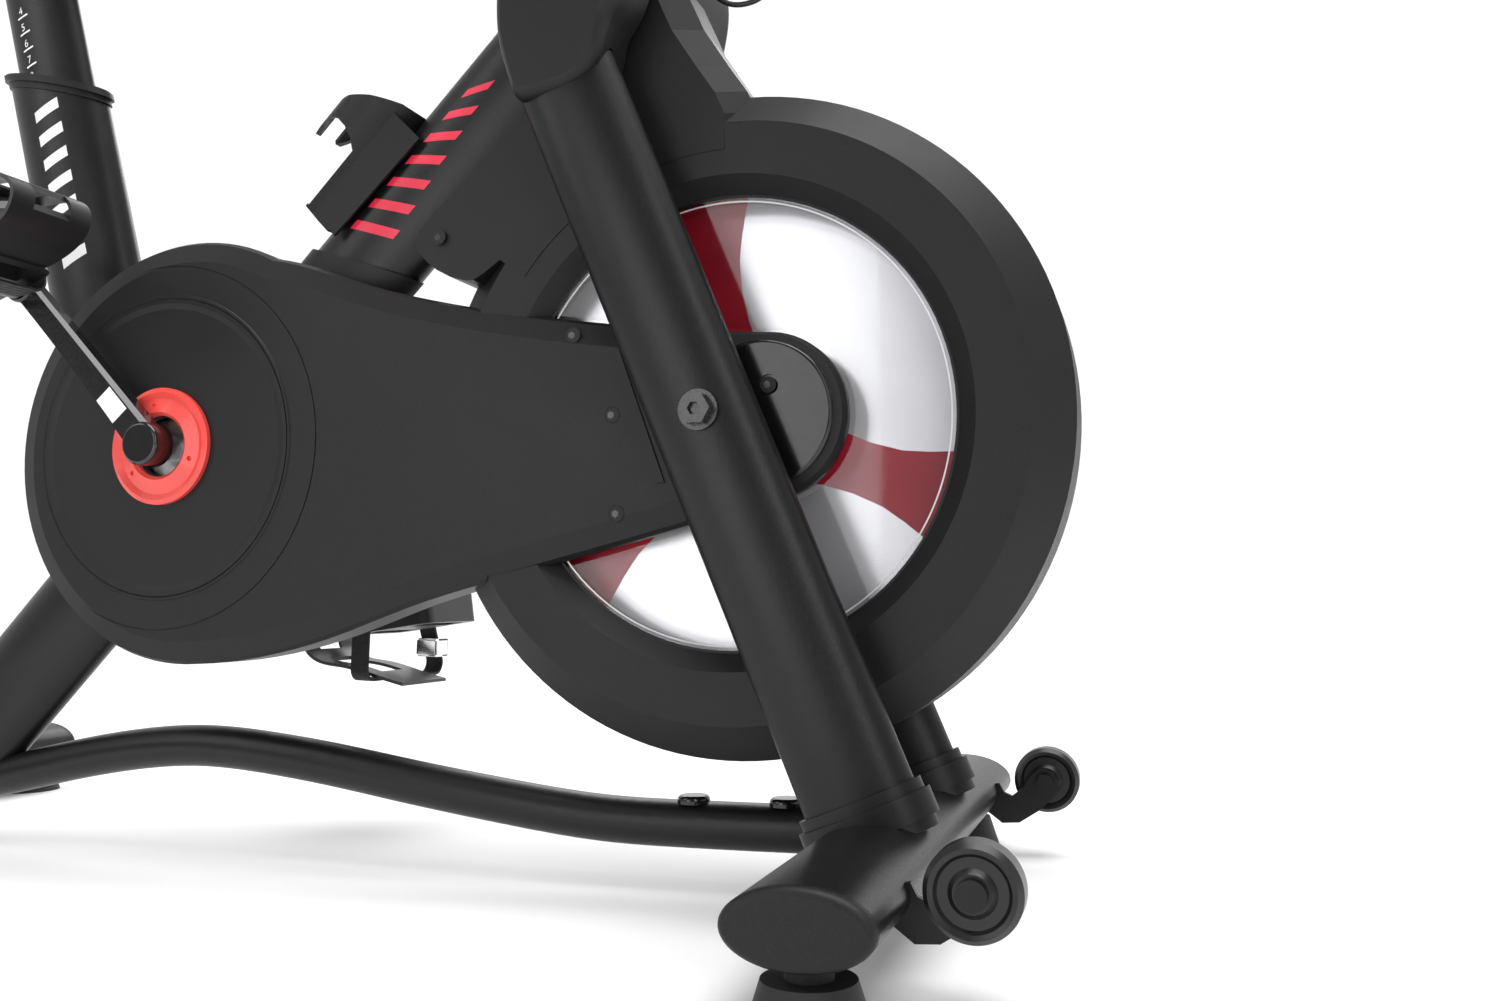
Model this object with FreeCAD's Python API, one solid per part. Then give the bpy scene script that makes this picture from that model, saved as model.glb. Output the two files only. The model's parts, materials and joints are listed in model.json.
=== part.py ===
"""Indoor spin bike: FreeCAD model, millimetres.

Frame of the part: +X points forward (flywheel end), +Y to the rider's left, +Z up.  The origin is on the floor,
under the middle of the bike.  The right side of the bike is the -Y side.
"""
import FreeCAD, Part
import math
import os

V = FreeCAD.Vector
Y_AXIS = V(0, 1, 0)
Z_AXIS = V(0, 0, 1)

# ---- driving dimensions -------------------------------------------------------------------------------------
WHEEL_X, AXLE_Z = 400.0, 366.0        # flywheel axis; the crank axis has the same height
CRANK_X = -122.0
CRANK_LENGTH = 188.0
CRANK_ANGLE = 130.0                   # right arm at rest, degrees up from +X
FIT = 0.05                            # radial clearance of a shaft in its bore
GAP = 0.5                             # clearance between neighbouring covers and tubes

LEG_Y = 84.6                          # centre plane of each fork leg
LEG_WIDTH, LEG_THICK = 83.0, 40.0
LEG_TOP = V(277.6, 0, 650.0)
LEG_FOOT = V(517.0, 0, 77.0)
BEAM_THICK = 50.0
DOWN_WIDTH = 98.0
REAR_WIDTH = 99.0
DOWN_FOOT = V(-122.0, 0, 359.0)       # the down tube and the rear leg meet at the bottom bracket
DOWN_TOP = V(246.0, 0, 720.0)
REAR_FOOT = V(-424.0, 0, 62.0)
REAR_TOP = V(-122.0, 0, 359.0)
SEAT_TUBE_WIDTH, SEAT_TUBE_THICK = 104.0, 50.0
SEAT_TILT = 15.5                      # degrees back from vertical
COLLAR_CENTRE = V(-313.5, 0, 731.0)   # top of the seat tube, on its axis
POST_WIDTH, POST_THICK = 82.0, 35.0
WALL = 2.0                            # frame tube wall

STABILISER_LENGTH = 598.0
STABILISER_WIDTH, STABILISER_HEIGHT = 88.0, 46.0
STABILISER_Z = 56.4
FRONT_X, REAR_X = 525.5, -615.0
CAP_THICK = 9.0
FOOT_Y = 270.0
FOOT_HEIGHT = 33.0
RAIL_RADIUS = 18.5
RAIL_POINTS = [(-573, 51), (-480, 51), (-410, 55), (-356, 62.5), (-300, 74), (-240, 86), (-185, 94.5),
               (-114, 99.5), (-40, 95), (30, 86.5), (100, 76), (185, 64.5), (240, 58), (284, 54.5), (340, 53.5),
               (419, 54), (483, 55)]

WINDOW_RADIUS = 177.0
SHROUD_SKIN = 3.0
FLYWHEEL_RADIUS = 240.0
AXLE_RADIUS = 8.0

COVER_FACE = 57.0                     # distance of the belt cover's outer face from the middle plane
COVER_STEPS = [(46.0, 0.0), (51.3, 3.0), (57.0, 20.0)]    # bevel round that face: distance and inset
COVER_INNER = 14.0
COVER_SKIN = 3.0
COVER_REAR = (-100.0, 362.0, 187.0)   # centre x, centre z and radius of the rear end
COVER_NOSE = (432.0, 368.0, 64.0)     # the same for the round front end
COVER_TOP = [(29, 516), (80, 497), (142, 479), (194, 467), (300, 448), (380, 437)]
COVER_BOTTOM = [(375, 288), (267, 261), (188, 242), (124, 224), (60, 202), (-22, 182)]
DISC_RADIUS = 131.6
RING_OUTER, RING_INNER = 51.7, 27.0

CRANK_PULLEY_RADIUS = 112.0
FLYWHEEL_PULLEY_RADIUS = 28.0         # belt ratio 4 to 1
BELT_Y, BELT_WIDTH, BELT_THICK = -36.0, 16.0, 3.5

POST_X = 285.0                        # handlebar post and head tube
HEAD_BOTTOM, HEAD_TOP = 762.0, 872.0
HEAD_WIDTH, HEAD_THICK = 92.0, 54.0
BAR_POST_WIDTH, BAR_POST_THICK = 78.0, 40.0
HOOD_HALF = 110.0                     # half width of the crown cover
BAR_RADIUS = 12.5
GRIP_RADIUS = 16.5
BAR_Z = 1046.0
BAR_KNOB_Z = 845.0                    # pop pin that locks the handlebar post

os.makedirs("parts", exist_ok=True)


# ---- helpers ------------------------------------------------------------------------------------------------
def save(node, shape):
    """Write one sub-part."""
    shape.exportStep("parts/" + node + ".step")


def group(shapes):
    """Several separate solids in one node."""
    return Part.makeCompound(shapes)


def fuse(shapes):
    """One solid from several that touch."""
    return shapes[0].multiFuse(shapes[1:]).removeSplitter()


def cyl_y(radius, y0, y1, x, z):
    """Cylinder along Y."""
    return Part.makeCylinder(radius, y1 - y0, V(x, y0, z), Y_AXIS)


def box(x0, x1, y0, y1, z0, z1):
    return Part.makeBox(x1 - x0, y1 - y0, z1 - z0, V(x0, y0, z0))


def plate(points, y0, y1):
    """Straight-sided plate: an outline of (x, z) points between two Y planes."""
    wire = Part.makePolygon([V(x, y0, z) for x, z in points] + [V(points[0][0], y0, points[0][1])])
    return Part.Face(wire).extrude(V(0, y1 - y0, 0))


def turned(profile, x, z):
    """Solid of revolution about the Y line through (x, z), from (radius, y) points."""
    points = [V(x + r, y, z) for r, y in profile]
    face = Part.Face(Part.makePolygon(points + [points[0]]))
    return face.revolve(V(x, 0, z), Y_AXIS, 360)


def ellipse_wire(centre, along, width, thick):
    """Ellipse round a centre: its thickness is along Y and its width lies across the direction given."""
    across = Y_AXIS.cross(along).normalize()
    if width >= thick:
        curve = Part.Ellipse(V(0, 0, 0), width / 2, thick / 2)
        turn = FreeCAD.Rotation(across, Y_AXIS, across.cross(Y_AXIS), "ZXY")
    else:
        curve = Part.Ellipse(V(0, 0, 0), thick / 2, width / 2)
        turn = FreeCAD.Rotation(Y_AXIS, across, Y_AXIS.cross(across), "ZXY")
    edge = curve.toShape()
    edge.Placement = FreeCAD.Placement(centre, turn)
    return Part.Wire(edge)


def oval_bar(start, end, width, thick):
    """Solid oval bar between two points of the XZ plane."""
    along = end - start
    face = Part.Face(ellipse_wire(start, V(along).normalize(), width, thick))
    return face.extrude(along)


def oval_tube(start, end, width, thick, wall=WALL):
    """Hollow oval tube."""
    return oval_bar(start, end, width, thick).cut(oval_bar(start, end, width - 2 * wall, thick - 2 * wall))


def round_bar(points, radius, stretch=None):
    """Round bar along a smooth line through the points, or along its stretch between two of them."""
    curve = Part.BSplineCurve()
    curve.interpolate(points)
    if stretch:
        curve.segment(curve.parameter(points[stretch[0]]), curve.parameter(points[stretch[1]]))
    path = Part.Wire(curve.toShape())
    start, tangent = curve.value(curve.FirstParameter), curve.tangent(curve.FirstParameter)[0]
    ring = Part.Wire(Part.Circle(start, tangent, radius).toShape())
    return path.makePipeShell([ring], True, False)


def mirror_y(shape):
    return shape.mirror(V(0, 0, 0), Y_AXIS)


def tilted(direction_degrees):
    """Unit vector in the XZ plane, so many degrees up from +X."""
    a = math.radians(direction_degrees)
    return V(math.cos(a), 0, math.sin(a))


def bar_axis(start, direction, radius, length):
    return Part.makeCylinder(radius, length, start, direction)


def dome(centre, direction, radius, height):
    """Low dome: a short cylinder with a rounded top edge."""
    body = Part.makeCylinder(radius, height, centre, direction)
    top = [e for e in body.Edges if len(e.Vertexes) == 1 and
           (e.CenterOfMass - centre).dot(direction) > height * 0.9]
    return body.makeFillet(height * 0.6, top)


# ---- shared outer forms -------------------------------------------------------------------------------------
UP_SEAT = tilted(90 + SEAT_TILT)
BACK_SEAT = tilted(180 + SEAT_TILT)
SEAT_TUBE_FOOT = COLLAR_CENTRE - UP_SEAT * 465


def leg_bar(grow=0.0):
    """The right fork leg's outer form."""
    bar = oval_bar(LEG_FOOT, LEG_TOP, LEG_WIDTH + 2 * grow, LEG_THICK + 2 * grow)
    bar.translate(V(0, -LEG_Y, 0))
    return bar


def down_bar(grow=0.0):
    return oval_bar(DOWN_FOOT, DOWN_TOP, DOWN_WIDTH + 2 * grow, BEAM_THICK + 2 * grow)


def rear_bar(grow=0.0):
    return oval_bar(REAR_FOOT, REAR_TOP, REAR_WIDTH + 2 * grow, BEAM_THICK + 2 * grow)


def seat_bar(grow=0.0):
    return oval_bar(SEAT_TUBE_FOOT, COLLAR_CENTRE, SEAT_TUBE_WIDTH + 2 * grow, SEAT_TUBE_THICK + 2 * grow)


def head_bar(grow=0.0):
    low, high = V(POST_X, 0, HEAD_BOTTOM), V(POST_X, 0, HEAD_TOP)
    return oval_bar(low, high, HEAD_WIDTH + 2 * grow, HEAD_THICK + 2 * grow)


def stabiliser_bar(x, half_length, grow=0.0):
    edge = Part.Ellipse(V(0, 0, 0), STABILISER_WIDTH / 2 + grow, STABILISER_HEIGHT / 2 + grow).toShape()
    edge.Placement = FreeCAD.Placement(V(x, -half_length, STABILISER_Z),
                                       FreeCAD.Rotation(V(1, 0, 0), Z_AXIS, V(0, -1, 0), "ZXY"))
    return Part.Face(Part.Wire(edge)).extrude(V(0, 2 * half_length, 0))


def rail_bar(grow=0.0):
    return round_bar([V(x, 0, z) for x, z in RAIL_POINTS], RAIL_RADIUS + grow)


BOTTOM_BRACKET = cyl_y(24, -45, 45, CRANK_X, AXLE_Z)
CAP_HALF = STABILISER_LENGTH / 2 - CAP_THICK
FRONT_BAR = stabiliser_bar(FRONT_X, CAP_HALF)
REAR_BAR = stabiliser_bar(REAR_X, CAP_HALF)


# ---- frame --------------------------------------------------------------------------------------------------
def frame_tubes():
    rear = oval_tube(REAR_FOOT, REAR_TOP, REAR_WIDTH, BEAM_THICK).cut(rail_bar())
    rear = rear.cut(box(-700, 0, -60, 60, 0, 74)).cut(BOTTOM_BRACKET)
    down = oval_tube(DOWN_FOOT, DOWN_TOP, DOWN_WIDTH, BEAM_THICK).cut(rear_bar()).cut(BOTTOM_BRACKET)
    down = down.cut(crown_steel())
    seat = oval_tube(SEAT_TUBE_FOOT, COLLAR_CENTRE + UP_SEAT * 60, SEAT_TUBE_WIDTH, SEAT_TUBE_THICK)
    seat = seat.cut(collar_slab(0, 200))
    seat = seat.cut(rear_bar()).cut(down_bar()).cut(BOTTOM_BRACKET)
    seat = largest(seat).cut(seat_knob_hole())
    save("rear_leg", largest(rear))
    save("down_tube", largest(down))
    save("seat_tube", largest(seat))
    rail = rail_bar().cut(round_bar([V(x, 0, z) for x, z in RAIL_POINTS], RAIL_RADIUS - WALL))
    rail = rail.cut(FRONT_BAR).cut(REAR_BAR)
    save("base_rail", largest(rail))
    shell = BOTTOM_BRACKET.cut(cyl_y(12 + FIT, -50, 50, CRANK_X, AXLE_Z))
    save("bottom_bracket_shell", shell)


def largest(shape):
    """The main solid of a cut, without loose slivers."""
    return max(shape.Solids, key=lambda s: s.Volume)


def crown_steel():
    """Steel crown: an upright over each leg and a bridge that carries the head tube."""
    upright = box(243, 315, -103, -66, 650.5, 725)
    bridge = box(243, 315, -103, 103, 725, HEAD_BOTTOM - 0.01)
    return fuse([bridge, upright, mirror_y(upright)])


def fork():
    leg = leg_bar().cut(oval_bar(LEG_FOOT, LEG_TOP, LEG_WIDTH - 2 * WALL, LEG_THICK - 2 * WALL).translate(
        V(0, -LEG_Y, 0)))
    axle_hole = cyl_y(AXLE_RADIUS + 0.3, -120, -50, WHEEL_X, AXLE_Z)
    leg = leg.cut(FRONT_BAR).cut(axle_hole)
    leg = leg.cut(box(100, 700, -150, -20, 650, 760))
    save("fork_leg_right", largest(leg))
    save("fork_leg_left", mirror_y(largest(leg)))
    save("fork_crown", crown_steel().cut(post_path(0.4)))
    lip_low = collar_lip(8.0, 1, 9)
    lip_high = collar_lip(4.5, 9, 17)
    collar = lip_low.fuse(lip_high).cut(leg_bar()).cut(FRONT_BAR)
    collar = largest(collar)
    save("leg_collars", group([collar, mirror_y(collar)]))


def collar_lip(grow, low, high):
    """One lip of the collar at the foot of a leg, along the leg."""
    up = V(LEG_TOP - LEG_FOOT).normalize()
    lip = oval_bar(LEG_FOOT - up * (low + 8), LEG_FOOT + up * high, LEG_WIDTH + 2 * grow, LEG_THICK + 2 * grow)
    return lip.translate(V(0, -LEG_Y, 0))


def post_path(grow):
    """The room that the handlebar post slides in."""
    low, high = V(POST_X, 0, 640), V(POST_X, 0, 1000)
    return oval_bar(low, high, BAR_POST_WIDTH + 2 * grow, BAR_POST_THICK + 2 * grow)


def head_tube():
    tube = head_bar().cut(post_path(0.4))
    boss = bar_axis(V(262, 0, 800), RESIST_DIR, 13, 72)
    tube = tube.fuse(boss).cut(post_path(0.4)).cut(bar_axis(V(262, 0, 800), RESIST_DIR, 5.3, 80))
    gland_x, gland_z = CABLE_ROUTE[0]
    tube = tube.fuse(bar_axis(V(gland_x - 10, 0, gland_z), V(1, 0, 0), 6, 10)).cut(post_path(0.4))
    boss = cyl_y(11, -34, -24, POST_X, BAR_KNOB_Z)
    tube = tube.fuse(boss).cut(post_path(0.4)).cut(cyl_y(5.3, -60, 0, POST_X, BAR_KNOB_Z))
    save("head_tube", largest(tube.removeSplitter()))


RESIST_DIR = tilted(125)


def stabilisers():
    for node, x in (("front_stabiliser", FRONT_X), ("rear_stabiliser", REAR_X)):
        tube = stabiliser_bar(x, CAP_HALF).cut(stabiliser_bar(x, CAP_HALF + 1, -2.5))
        for side in (-1, 1):
            tube = tube.cut(Part.makeCylinder(5.3, 30, V(x, side * FOOT_Y, 20)))
        save(node, tube)
    caps = []
    for x in (FRONT_X, REAR_X):
        cap = stabiliser_bar(x, CAP_HALF + CAP_THICK).cut(box(x - 60, x + 60, -400, CAP_HALF, 0, 120))
        rim = [e for e in cap.Edges if abs(e.CenterOfMass.y - CAP_HALF - CAP_THICK) < 0.01]
        cap = cap.makeFillet(5.0, rim)
        caps += [cap, mirror_y(cap)]
    save("stabiliser_caps", group(caps))
    plugs = [dome(V(x, 0, z - 2), Z_AXIS, 13, 6.5) for x, z in ((357, 72), (433, 73))]
    save("rail_plugs", group([plug.cut(rail_bar()) for plug in plugs]))


def feet():
    for end, x in (("front", FRONT_X), ("rear", REAR_X)):
        for side, y in (("right", -FOOT_Y), ("left", FOOT_Y)):
            cone = Part.makeCone(35, 27, FOOT_HEIGHT - 8, V(x, y, 0))
            neck = Part.makeCylinder(14, 8, V(x, y, FOOT_HEIGHT - 8))
            stud = Part.makeCylinder(5, 20, V(x, y, FOOT_HEIGHT - 2))
            save("foot_" + end + "_" + side, fuse([cone, neck, stud]))


TRANSPORT_X, TRANSPORT_Y, TRANSPORT_Z = 610.0, 227.0, 68.0
TRANSPORT_RADIUS = 28.2


def transport():
    outline = [(549, 62), (560, 40), (572, 31), (587, 32), (604, 43), (620, 58), (622, 68), (616, 78),
               (606, 80), (598, 74), (590, 62), (581, 55), (574, 58), (570, 66)]
    arm = plate(outline, -(TRANSPORT_Y - 18), -(TRANSPORT_Y - 23)).cut(FRONT_BAR)
    arm = largest(arm).cut(cyl_y(5, -250, -150, TRANSPORT_X, TRANSPORT_Z))
    bolt = cyl_y(5, -(TRANSPORT_Y + 13), -(TRANSPORT_Y - 27), TRANSPORT_X, TRANSPORT_Z)
    head = cyl_y(9, -(TRANSPORT_Y + 17), -(TRANSPORT_Y + 13), TRANSPORT_X, TRANSPORT_Z)
    nut = hexagon_y(8, -(TRANSPORT_Y - 23), 6, TRANSPORT_X, TRANSPORT_Z)
    bolt = fuse([bolt, head, nut])
    save("wheel_brackets", group([arm, bolt, mirror_y(arm), mirror_y(bolt)]))
    wheel = turned([(5 + FIT, -12), (11, -12), (14, -9), (20, -9), (22, -11), (25, -12), (28.2, -8),
                    (28.2, 8), (25, 12), (22, 11), (20, 9), (14, 9), (11, 12), (5 + FIT, 12)],
                   TRANSPORT_X, TRANSPORT_Z)
    for side, y in (("right", -TRANSPORT_Y), ("left", TRANSPORT_Y)):
        save("transport_wheel_" + side, wheel.copy().translate(V(0, y, 0)))


def hexagon_y(radius, y, depth, x, z):
    """Hexagonal nut along +Y from a Y plane."""
    corners = [(x + radius * math.cos(math.radians(60 * i)), z + radius * math.sin(math.radians(60 * i)))
               for i in range(6)]
    return plate(corners, y, y + depth)


# ---- crown cover --------------------------------------------------------------------------------------------
HOOD_OUTLINE = [(247, 620), (241, 637), (233, 666), (231, 698), (233, 740), (238, 775), (250, 800), (268, 809),
                (318, 809), (340, 798), (352, 775), (352, 740), (345, 708), (335, 682), (326, 668), (322, 653),
                (317, 638), (298, 621), (269, 615)]


def inset(points, distance):
    """Outline moved toward its own middle by roughly a distance."""
    cx = sum(x for x, _ in points) / len(points)
    cz = sum(z for _, z in points) / len(points)
    moved = []
    for x, z in points:
        length = math.hypot(x - cx, z - cz)
        moved.append((x + (cx - x) * distance / length, z + (cz - z) * distance / length))
    return moved


def outline_wire(points, y):
    """Smooth closed outline."""
    curve = Part.BSplineCurve()
    curve.interpolate([V(x, y, z) for x, z in points], PeriodicFlag=True)
    return Part.Wire(curve.toShape())


def crown_cover():
    middle = Part.Face(outline_wire(HOOD_OUTLINE, -HOOD_HALF + 12)).extrude(V(0, 2 * HOOD_HALF - 24, 0))
    side = Part.makeLoft([outline_wire(HOOD_OUTLINE, -HOOD_HALF + 12),
                          outline_wire(inset(HOOD_OUTLINE, 3), -HOOD_HALF + 4),
                          outline_wire(inset(HOOD_OUTLINE, 8), -HOOD_HALF)], True, False)
    hood = fuse([middle, side, mirror_y(side)])
    below = plate([(200, 600), (380, 600), (380, 748), (302, 690), (200, 690)], -60, 60)
    room = plate(inset(HOOD_OUTLINE, 5), -60, 60).cut(box(200, 400, -60, 60, 590, 690))
    hood = hood.cut(below).cut(room.cut(head_bar(8)))
    hood = hood.cut(leg_bar(0.3)).cut(mirror_y(leg_bar(0.3))).cut(crown_steel()).cut(down_bar(0.3))
    hood = hood.cut(head_bar(0.3)).cut(bar_axis(V(262, 0, 800), RESIST_DIR, 13.3, 80))
    hood = hood.cut(box(243, 315, -103, 103, 640, 700))
    save("crown_cover", largest(hood))


# ---- flywheel shroud ----------------------------------------------------------------------------------------
TAB_SCREW = (153, 529)
NECK_FRONT = [(420, 612), (412, 630), (397, 652), (376, 685), (357, 728)]
NECK_REAR = [(303, 688.5), (262, 688.5), (240, 640), (230, 624), (180, 579), (144, 549), (133, 538), (129, 529),
             (131, 520.5), (139, 511), (149.6, 502.5), (162, 495.8), (174.5, 492), (184, 491.3), (193, 496),
             (208, 506), (260, 470)]
NECK_BEVEL = (-18.0, -8.0)            # how far the neck's front edge steps back at its side faces
NECK_REACH = 210.0                    # how near to the wheel axis the neck comes


def neck(skin, half):
    """The right half of the neck and tab, inside its skin by a distance."""
    front = [(x - skin, z - skin) for x, z in NECK_FRONT]
    rear = inset(NECK_REAR, skin)
    edge = [(x + NECK_BEVEL[0], z + NECK_BEVEL[1]) for x, z in front]
    core = plate(front + rear + [(400, 480)], -26, half)
    wires = []
    for y, points in ((-26, front), (-51.3 + skin, edge)):
        corners = points + rear + [(400, 480)]
        wires.append(Part.makePolygon([V(x, y, z) for x, z in corners + corners[:1]]))
    bevel = Part.makeLoft(wires, True, True)
    return fuse([core, bevel])


def ring(skin):
    """The right half of the round shroud as a full disc, inside its skin by a distance."""
    profile = [(0, -38 + skin), (177 + skin / 2, -38 + skin), (190.5 - skin / 2, -50 + skin),
               (231 - skin / 2, -51.3 + skin), (259 - skin, -26 + skin / 2), (259 - skin, 0), (0, 0)]
    return turned(profile, WHEEL_X, AXLE_Z)


def shroud():
    inside = cyl_y(NECK_REACH, -70, 10, WHEEL_X, AXLE_Z)
    outer = fuse([ring(0), neck(0, 0).cut(inside)])
    hollow = fuse([ring(SHROUD_SKIN), neck(SHROUD_SKIN, 0).cut(inside)])
    half = outer.cut(hollow).cut(cyl_y(WINDOW_RADIUS - 2, -70, 0, WHEEL_X, AXLE_Z))
    for bar in (down_bar(GAP), head_bar(GAP), crown_steel()):
        half = half.cut(bar)
    half = half.cut(box(200, 400, -60, 60, 735, 900)).cut(cyl_y(2.6, -60, -40, *TAB_SCREW))
    left = mirror_y(half)
    right = half.cut(cover_slab(6, -70, -10))
    save("shroud_right", largest(right))
    save("shroud_left", largest(left))
    pane = cyl_y(WINDOW_RADIUS - 2.3, -38, -35.5, WHEEL_X, AXLE_Z)
    right_pane = pane.cut(cover_slab(-4, -70, -10))
    panes = sorted(right_pane.Solids, key=lambda s: -s.Volume)[:3]
    left_pane = mirror_y(pane.cut(cyl_y(40, -50, 0, WHEEL_X, AXLE_Z)))
    save("flywheel_windows", group([s for s in panes if s.Volume > 500] + [left_pane]))


# ---- belt covers --------------------------------------------------------------------------------------------
def cover_outline(shrink, y):
    """Outline of the belt cover: round rear end, top line, round nose, bottom line."""
    rx, rz, rr = COVER_REAR
    nx, nz, nr = COVER_NOSE
    rr, nr = rr - shrink, nr - shrink
    a, b = math.radians(62), math.radians(-86)
    top_start = V(rx + rr * math.cos(a), y, rz + rr * math.sin(a))
    low_end = V(rx + rr * math.cos(b), y, rz + rr * math.sin(b))
    rear = V(rx - rr, y, rz)
    top = [top_start] + [V(x, y, z - shrink) for x, z in COVER_TOP] + [V(nx, y, nz + nr)]
    low = [V(nx, y, nz - nr)] + [V(x, y, z + shrink) for x, z in COVER_BOTTOM] + [low_end]
    edges = []
    for points in (top, low):
        curve = Part.BSplineCurve()
        curve.interpolate(points)
        edges.append(curve.toShape())
    nose = Part.Arc(top[-1], V(nx + nr, y, nz), low[0]).toShape()
    tail = Part.Arc(low[-1], rear, top[0]).toShape()
    return Part.Wire([edges[0], nose, edges[1], tail])


def cover_slab(shrink, y0, y1):
    return Part.Face(cover_outline(shrink, y0)).extrude(V(0, y1 - y0, 0))


def cover_body(skin):
    """The belt cover's full form, inside its skin by a distance."""
    depths = [COVER_STEPS[0][0], COVER_STEPS[1][0] - skin / 2, COVER_STEPS[2][0] - skin]
    pieces = [cover_slab(skin, -depths[0], -COVER_INNER)]
    outlines = [cover_outline(skin + inset_by, -depth) for depth, (_, inset_by) in zip(depths, COVER_STEPS)]
    pieces += [Part.makeLoft(outlines[i:i + 2], True, False) for i in (0, 1)]
    return fuse(pieces)


COLLAR_BAND = [(-40, 558), (4.2, 541.8), (119.9, 501.7), (160, 489), (160, 466), (80, 489), (29, 508), (-40, 533)]


def tube_collar():
    """The right cover's collar round the down tube."""
    return down_bar(4.5).cut(down_bar(GAP)).common(plate(COLLAR_BAND, -40, -0.2))


SCREWS = [(277, 438), (311, 373), (315, 296), (439, 389)]


def belt_covers():
    shell = cover_body(0)
    hollow = cover_body(COVER_SKIN).cut(box(0, 600, -COVER_INNER - COVER_SKIN, 0, 0, 700))
    shell = shell.cut(hollow)
    shell = shell.cut(ring(-0.6))
    shell = shell.cut(cyl_y(DISC_RADIUS + 0.4, -70, -50, CRANK_X, AXLE_Z))
    groove = turned([(160.2, -58), (161.4, -58), (161.4, -56.2), (160.2, -56.2)], CRANK_X, AXLE_Z)
    lip = turned([(132.2, -57.01), (133.2, -58), (134.8, -58), (135.6, -57.01), (135.6, -56), (132.2, -56)],
                 CRANK_X, AXLE_Z)
    ridge = plate([(311, 422), (317, 424), (355, 319), (347, 319)], -58.6, -56)
    shell = shell.fuse(lip).fuse(ridge).cut(groove).fuse(tube_collar())
    for x, z in SCREWS:
        shell = shell.cut(cyl_y(6.5, -70, -54.5, x, z)).cut(cyl_y(2.6, -70, -40, x, z))
    for bar in (down_bar(GAP), rear_bar(GAP), seat_bar(GAP), mirror_y(neck_slab())):
        shell = shell.cut(bar)
    shell = shell.cut(cyl_y(14, -70, -10, WHEEL_X, AXLE_Z))
    save("belt_cover_right", largest(shell))
    nose_zone = cyl_y(56, -60.5, -57.05, COVER_NOSE[0], COVER_NOSE[1])
    rim = [e for e in nose_zone.Edges if abs(e.CenterOfMass.y + 60.5) < 0.01]
    nose = nose_zone.makeFillet(3.0, rim).cut(cyl_y(16, -70, -50, WHEEL_X, AXLE_Z))
    nose = nose.cut(cyl_y(8, -70, -58.5, *SCREWS[3])).cut(cyl_y(2.6, -70, -50, *SCREWS[3]))
    save("hub_dome", largest(nose))
    rear_x, rear_z, rear_r = COVER_REAR
    profile = [(0, -13.5), (rear_r - 6, -13.5), (rear_r - 6, 40), (rear_r - 22, 52), (0, 52)]
    inner = [(0, -14), (rear_r - 9, -14), (rear_r - 9, 38.5), (rear_r - 24, 49), (0, 49)]
    left = turned(profile, rear_x, rear_z).cut(turned(inner, rear_x, rear_z))
    left = left.fuse(mirror_y(tube_collar()))
    left = left.cut(shell_zone()).cut(cyl_y(DISC_RADIUS + 0.4, 40, 60, CRANK_X, AXLE_Z))
    for bar in (down_bar(GAP), rear_bar(GAP), seat_bar(GAP)):
        left = left.cut(bar)
    left = left.cut(mirror_y(ring(-0.6))).cut(mirror_y(neck_slab()))
    save("belt_cover_left", largest(left))


def neck_slab():
    """Room kept clear for the tab of the shroud, on the left side of the bike."""
    outline = [(x - 1 if x < 200 else x, z - 1.5) for x, z in NECK_REAR] + [(400, 480), (400, 700)]
    return mirror_y(plate(outline, -51.9, 0))


def shell_zone():
    """The right belt cover's room at the joint of the two covers."""
    return cover_slab(-0.3, -20, -COVER_INNER + 0.3)


LEFT_STEP = 5.0                       # the left cover's face lies this much nearer the middle plane


def crank_trim():
    """Round discs round the crank and their coloured rings, one of each on each side."""
    disc = turned([(26, -56), (26, -52), (DISC_RADIUS, -52), (DISC_RADIUS, -57.5), (DISC_RADIUS - 4, -57.5),
                   (DISC_RADIUS - 9, -56)], CRANK_X, AXLE_Z)
    band = turned([(RING_INNER, -56.05), (RING_INNER, -60), (RING_INNER + 3, -62.5), (RING_OUTER - 9, -59.5),
                   (RING_OUTER - 4, -62), (RING_OUTER, -60), (RING_OUTER, -56.05)], CRANK_X, AXLE_Z)
    for i in range(3):
        spot = tilted(100 + 120 * i) * 36
        band = band.cut(cyl_y(2.2, -67, -59, CRANK_X + spot.x, AXLE_Z + spot.z))
    left_disc, left_band = mirror_y(disc), mirror_y(band)
    left_disc.translate(V(0, -LEFT_STEP, 0))
    left_band.translate(V(0, -LEFT_STEP, 0))
    save("crank_discs", group([disc, left_disc]))
    save("crank_rings", group([band, left_band]))


def cover_screws():
    """Every small screw of the covers: belt cover, hub dome, shroud tab and the shroud's bottom seam."""
    screws = []
    for i, (x, z) in enumerate(SCREWS):
        face = -58.5 if i == 3 else -54.5
        screws.append(fuse([cyl_y(5.2, face - 2.5, face, x, z), cyl_y(2.5, face, face + 8, x, z)]))
    tab = fuse([cyl_y(5.5, -54.3, -51.35, *TAB_SCREW), cyl_y(2.5, -51.35, -45, *TAB_SCREW)])
    screws += [tab, mirror_y(tab)]
    save("cover_screws", group(screws))


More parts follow.
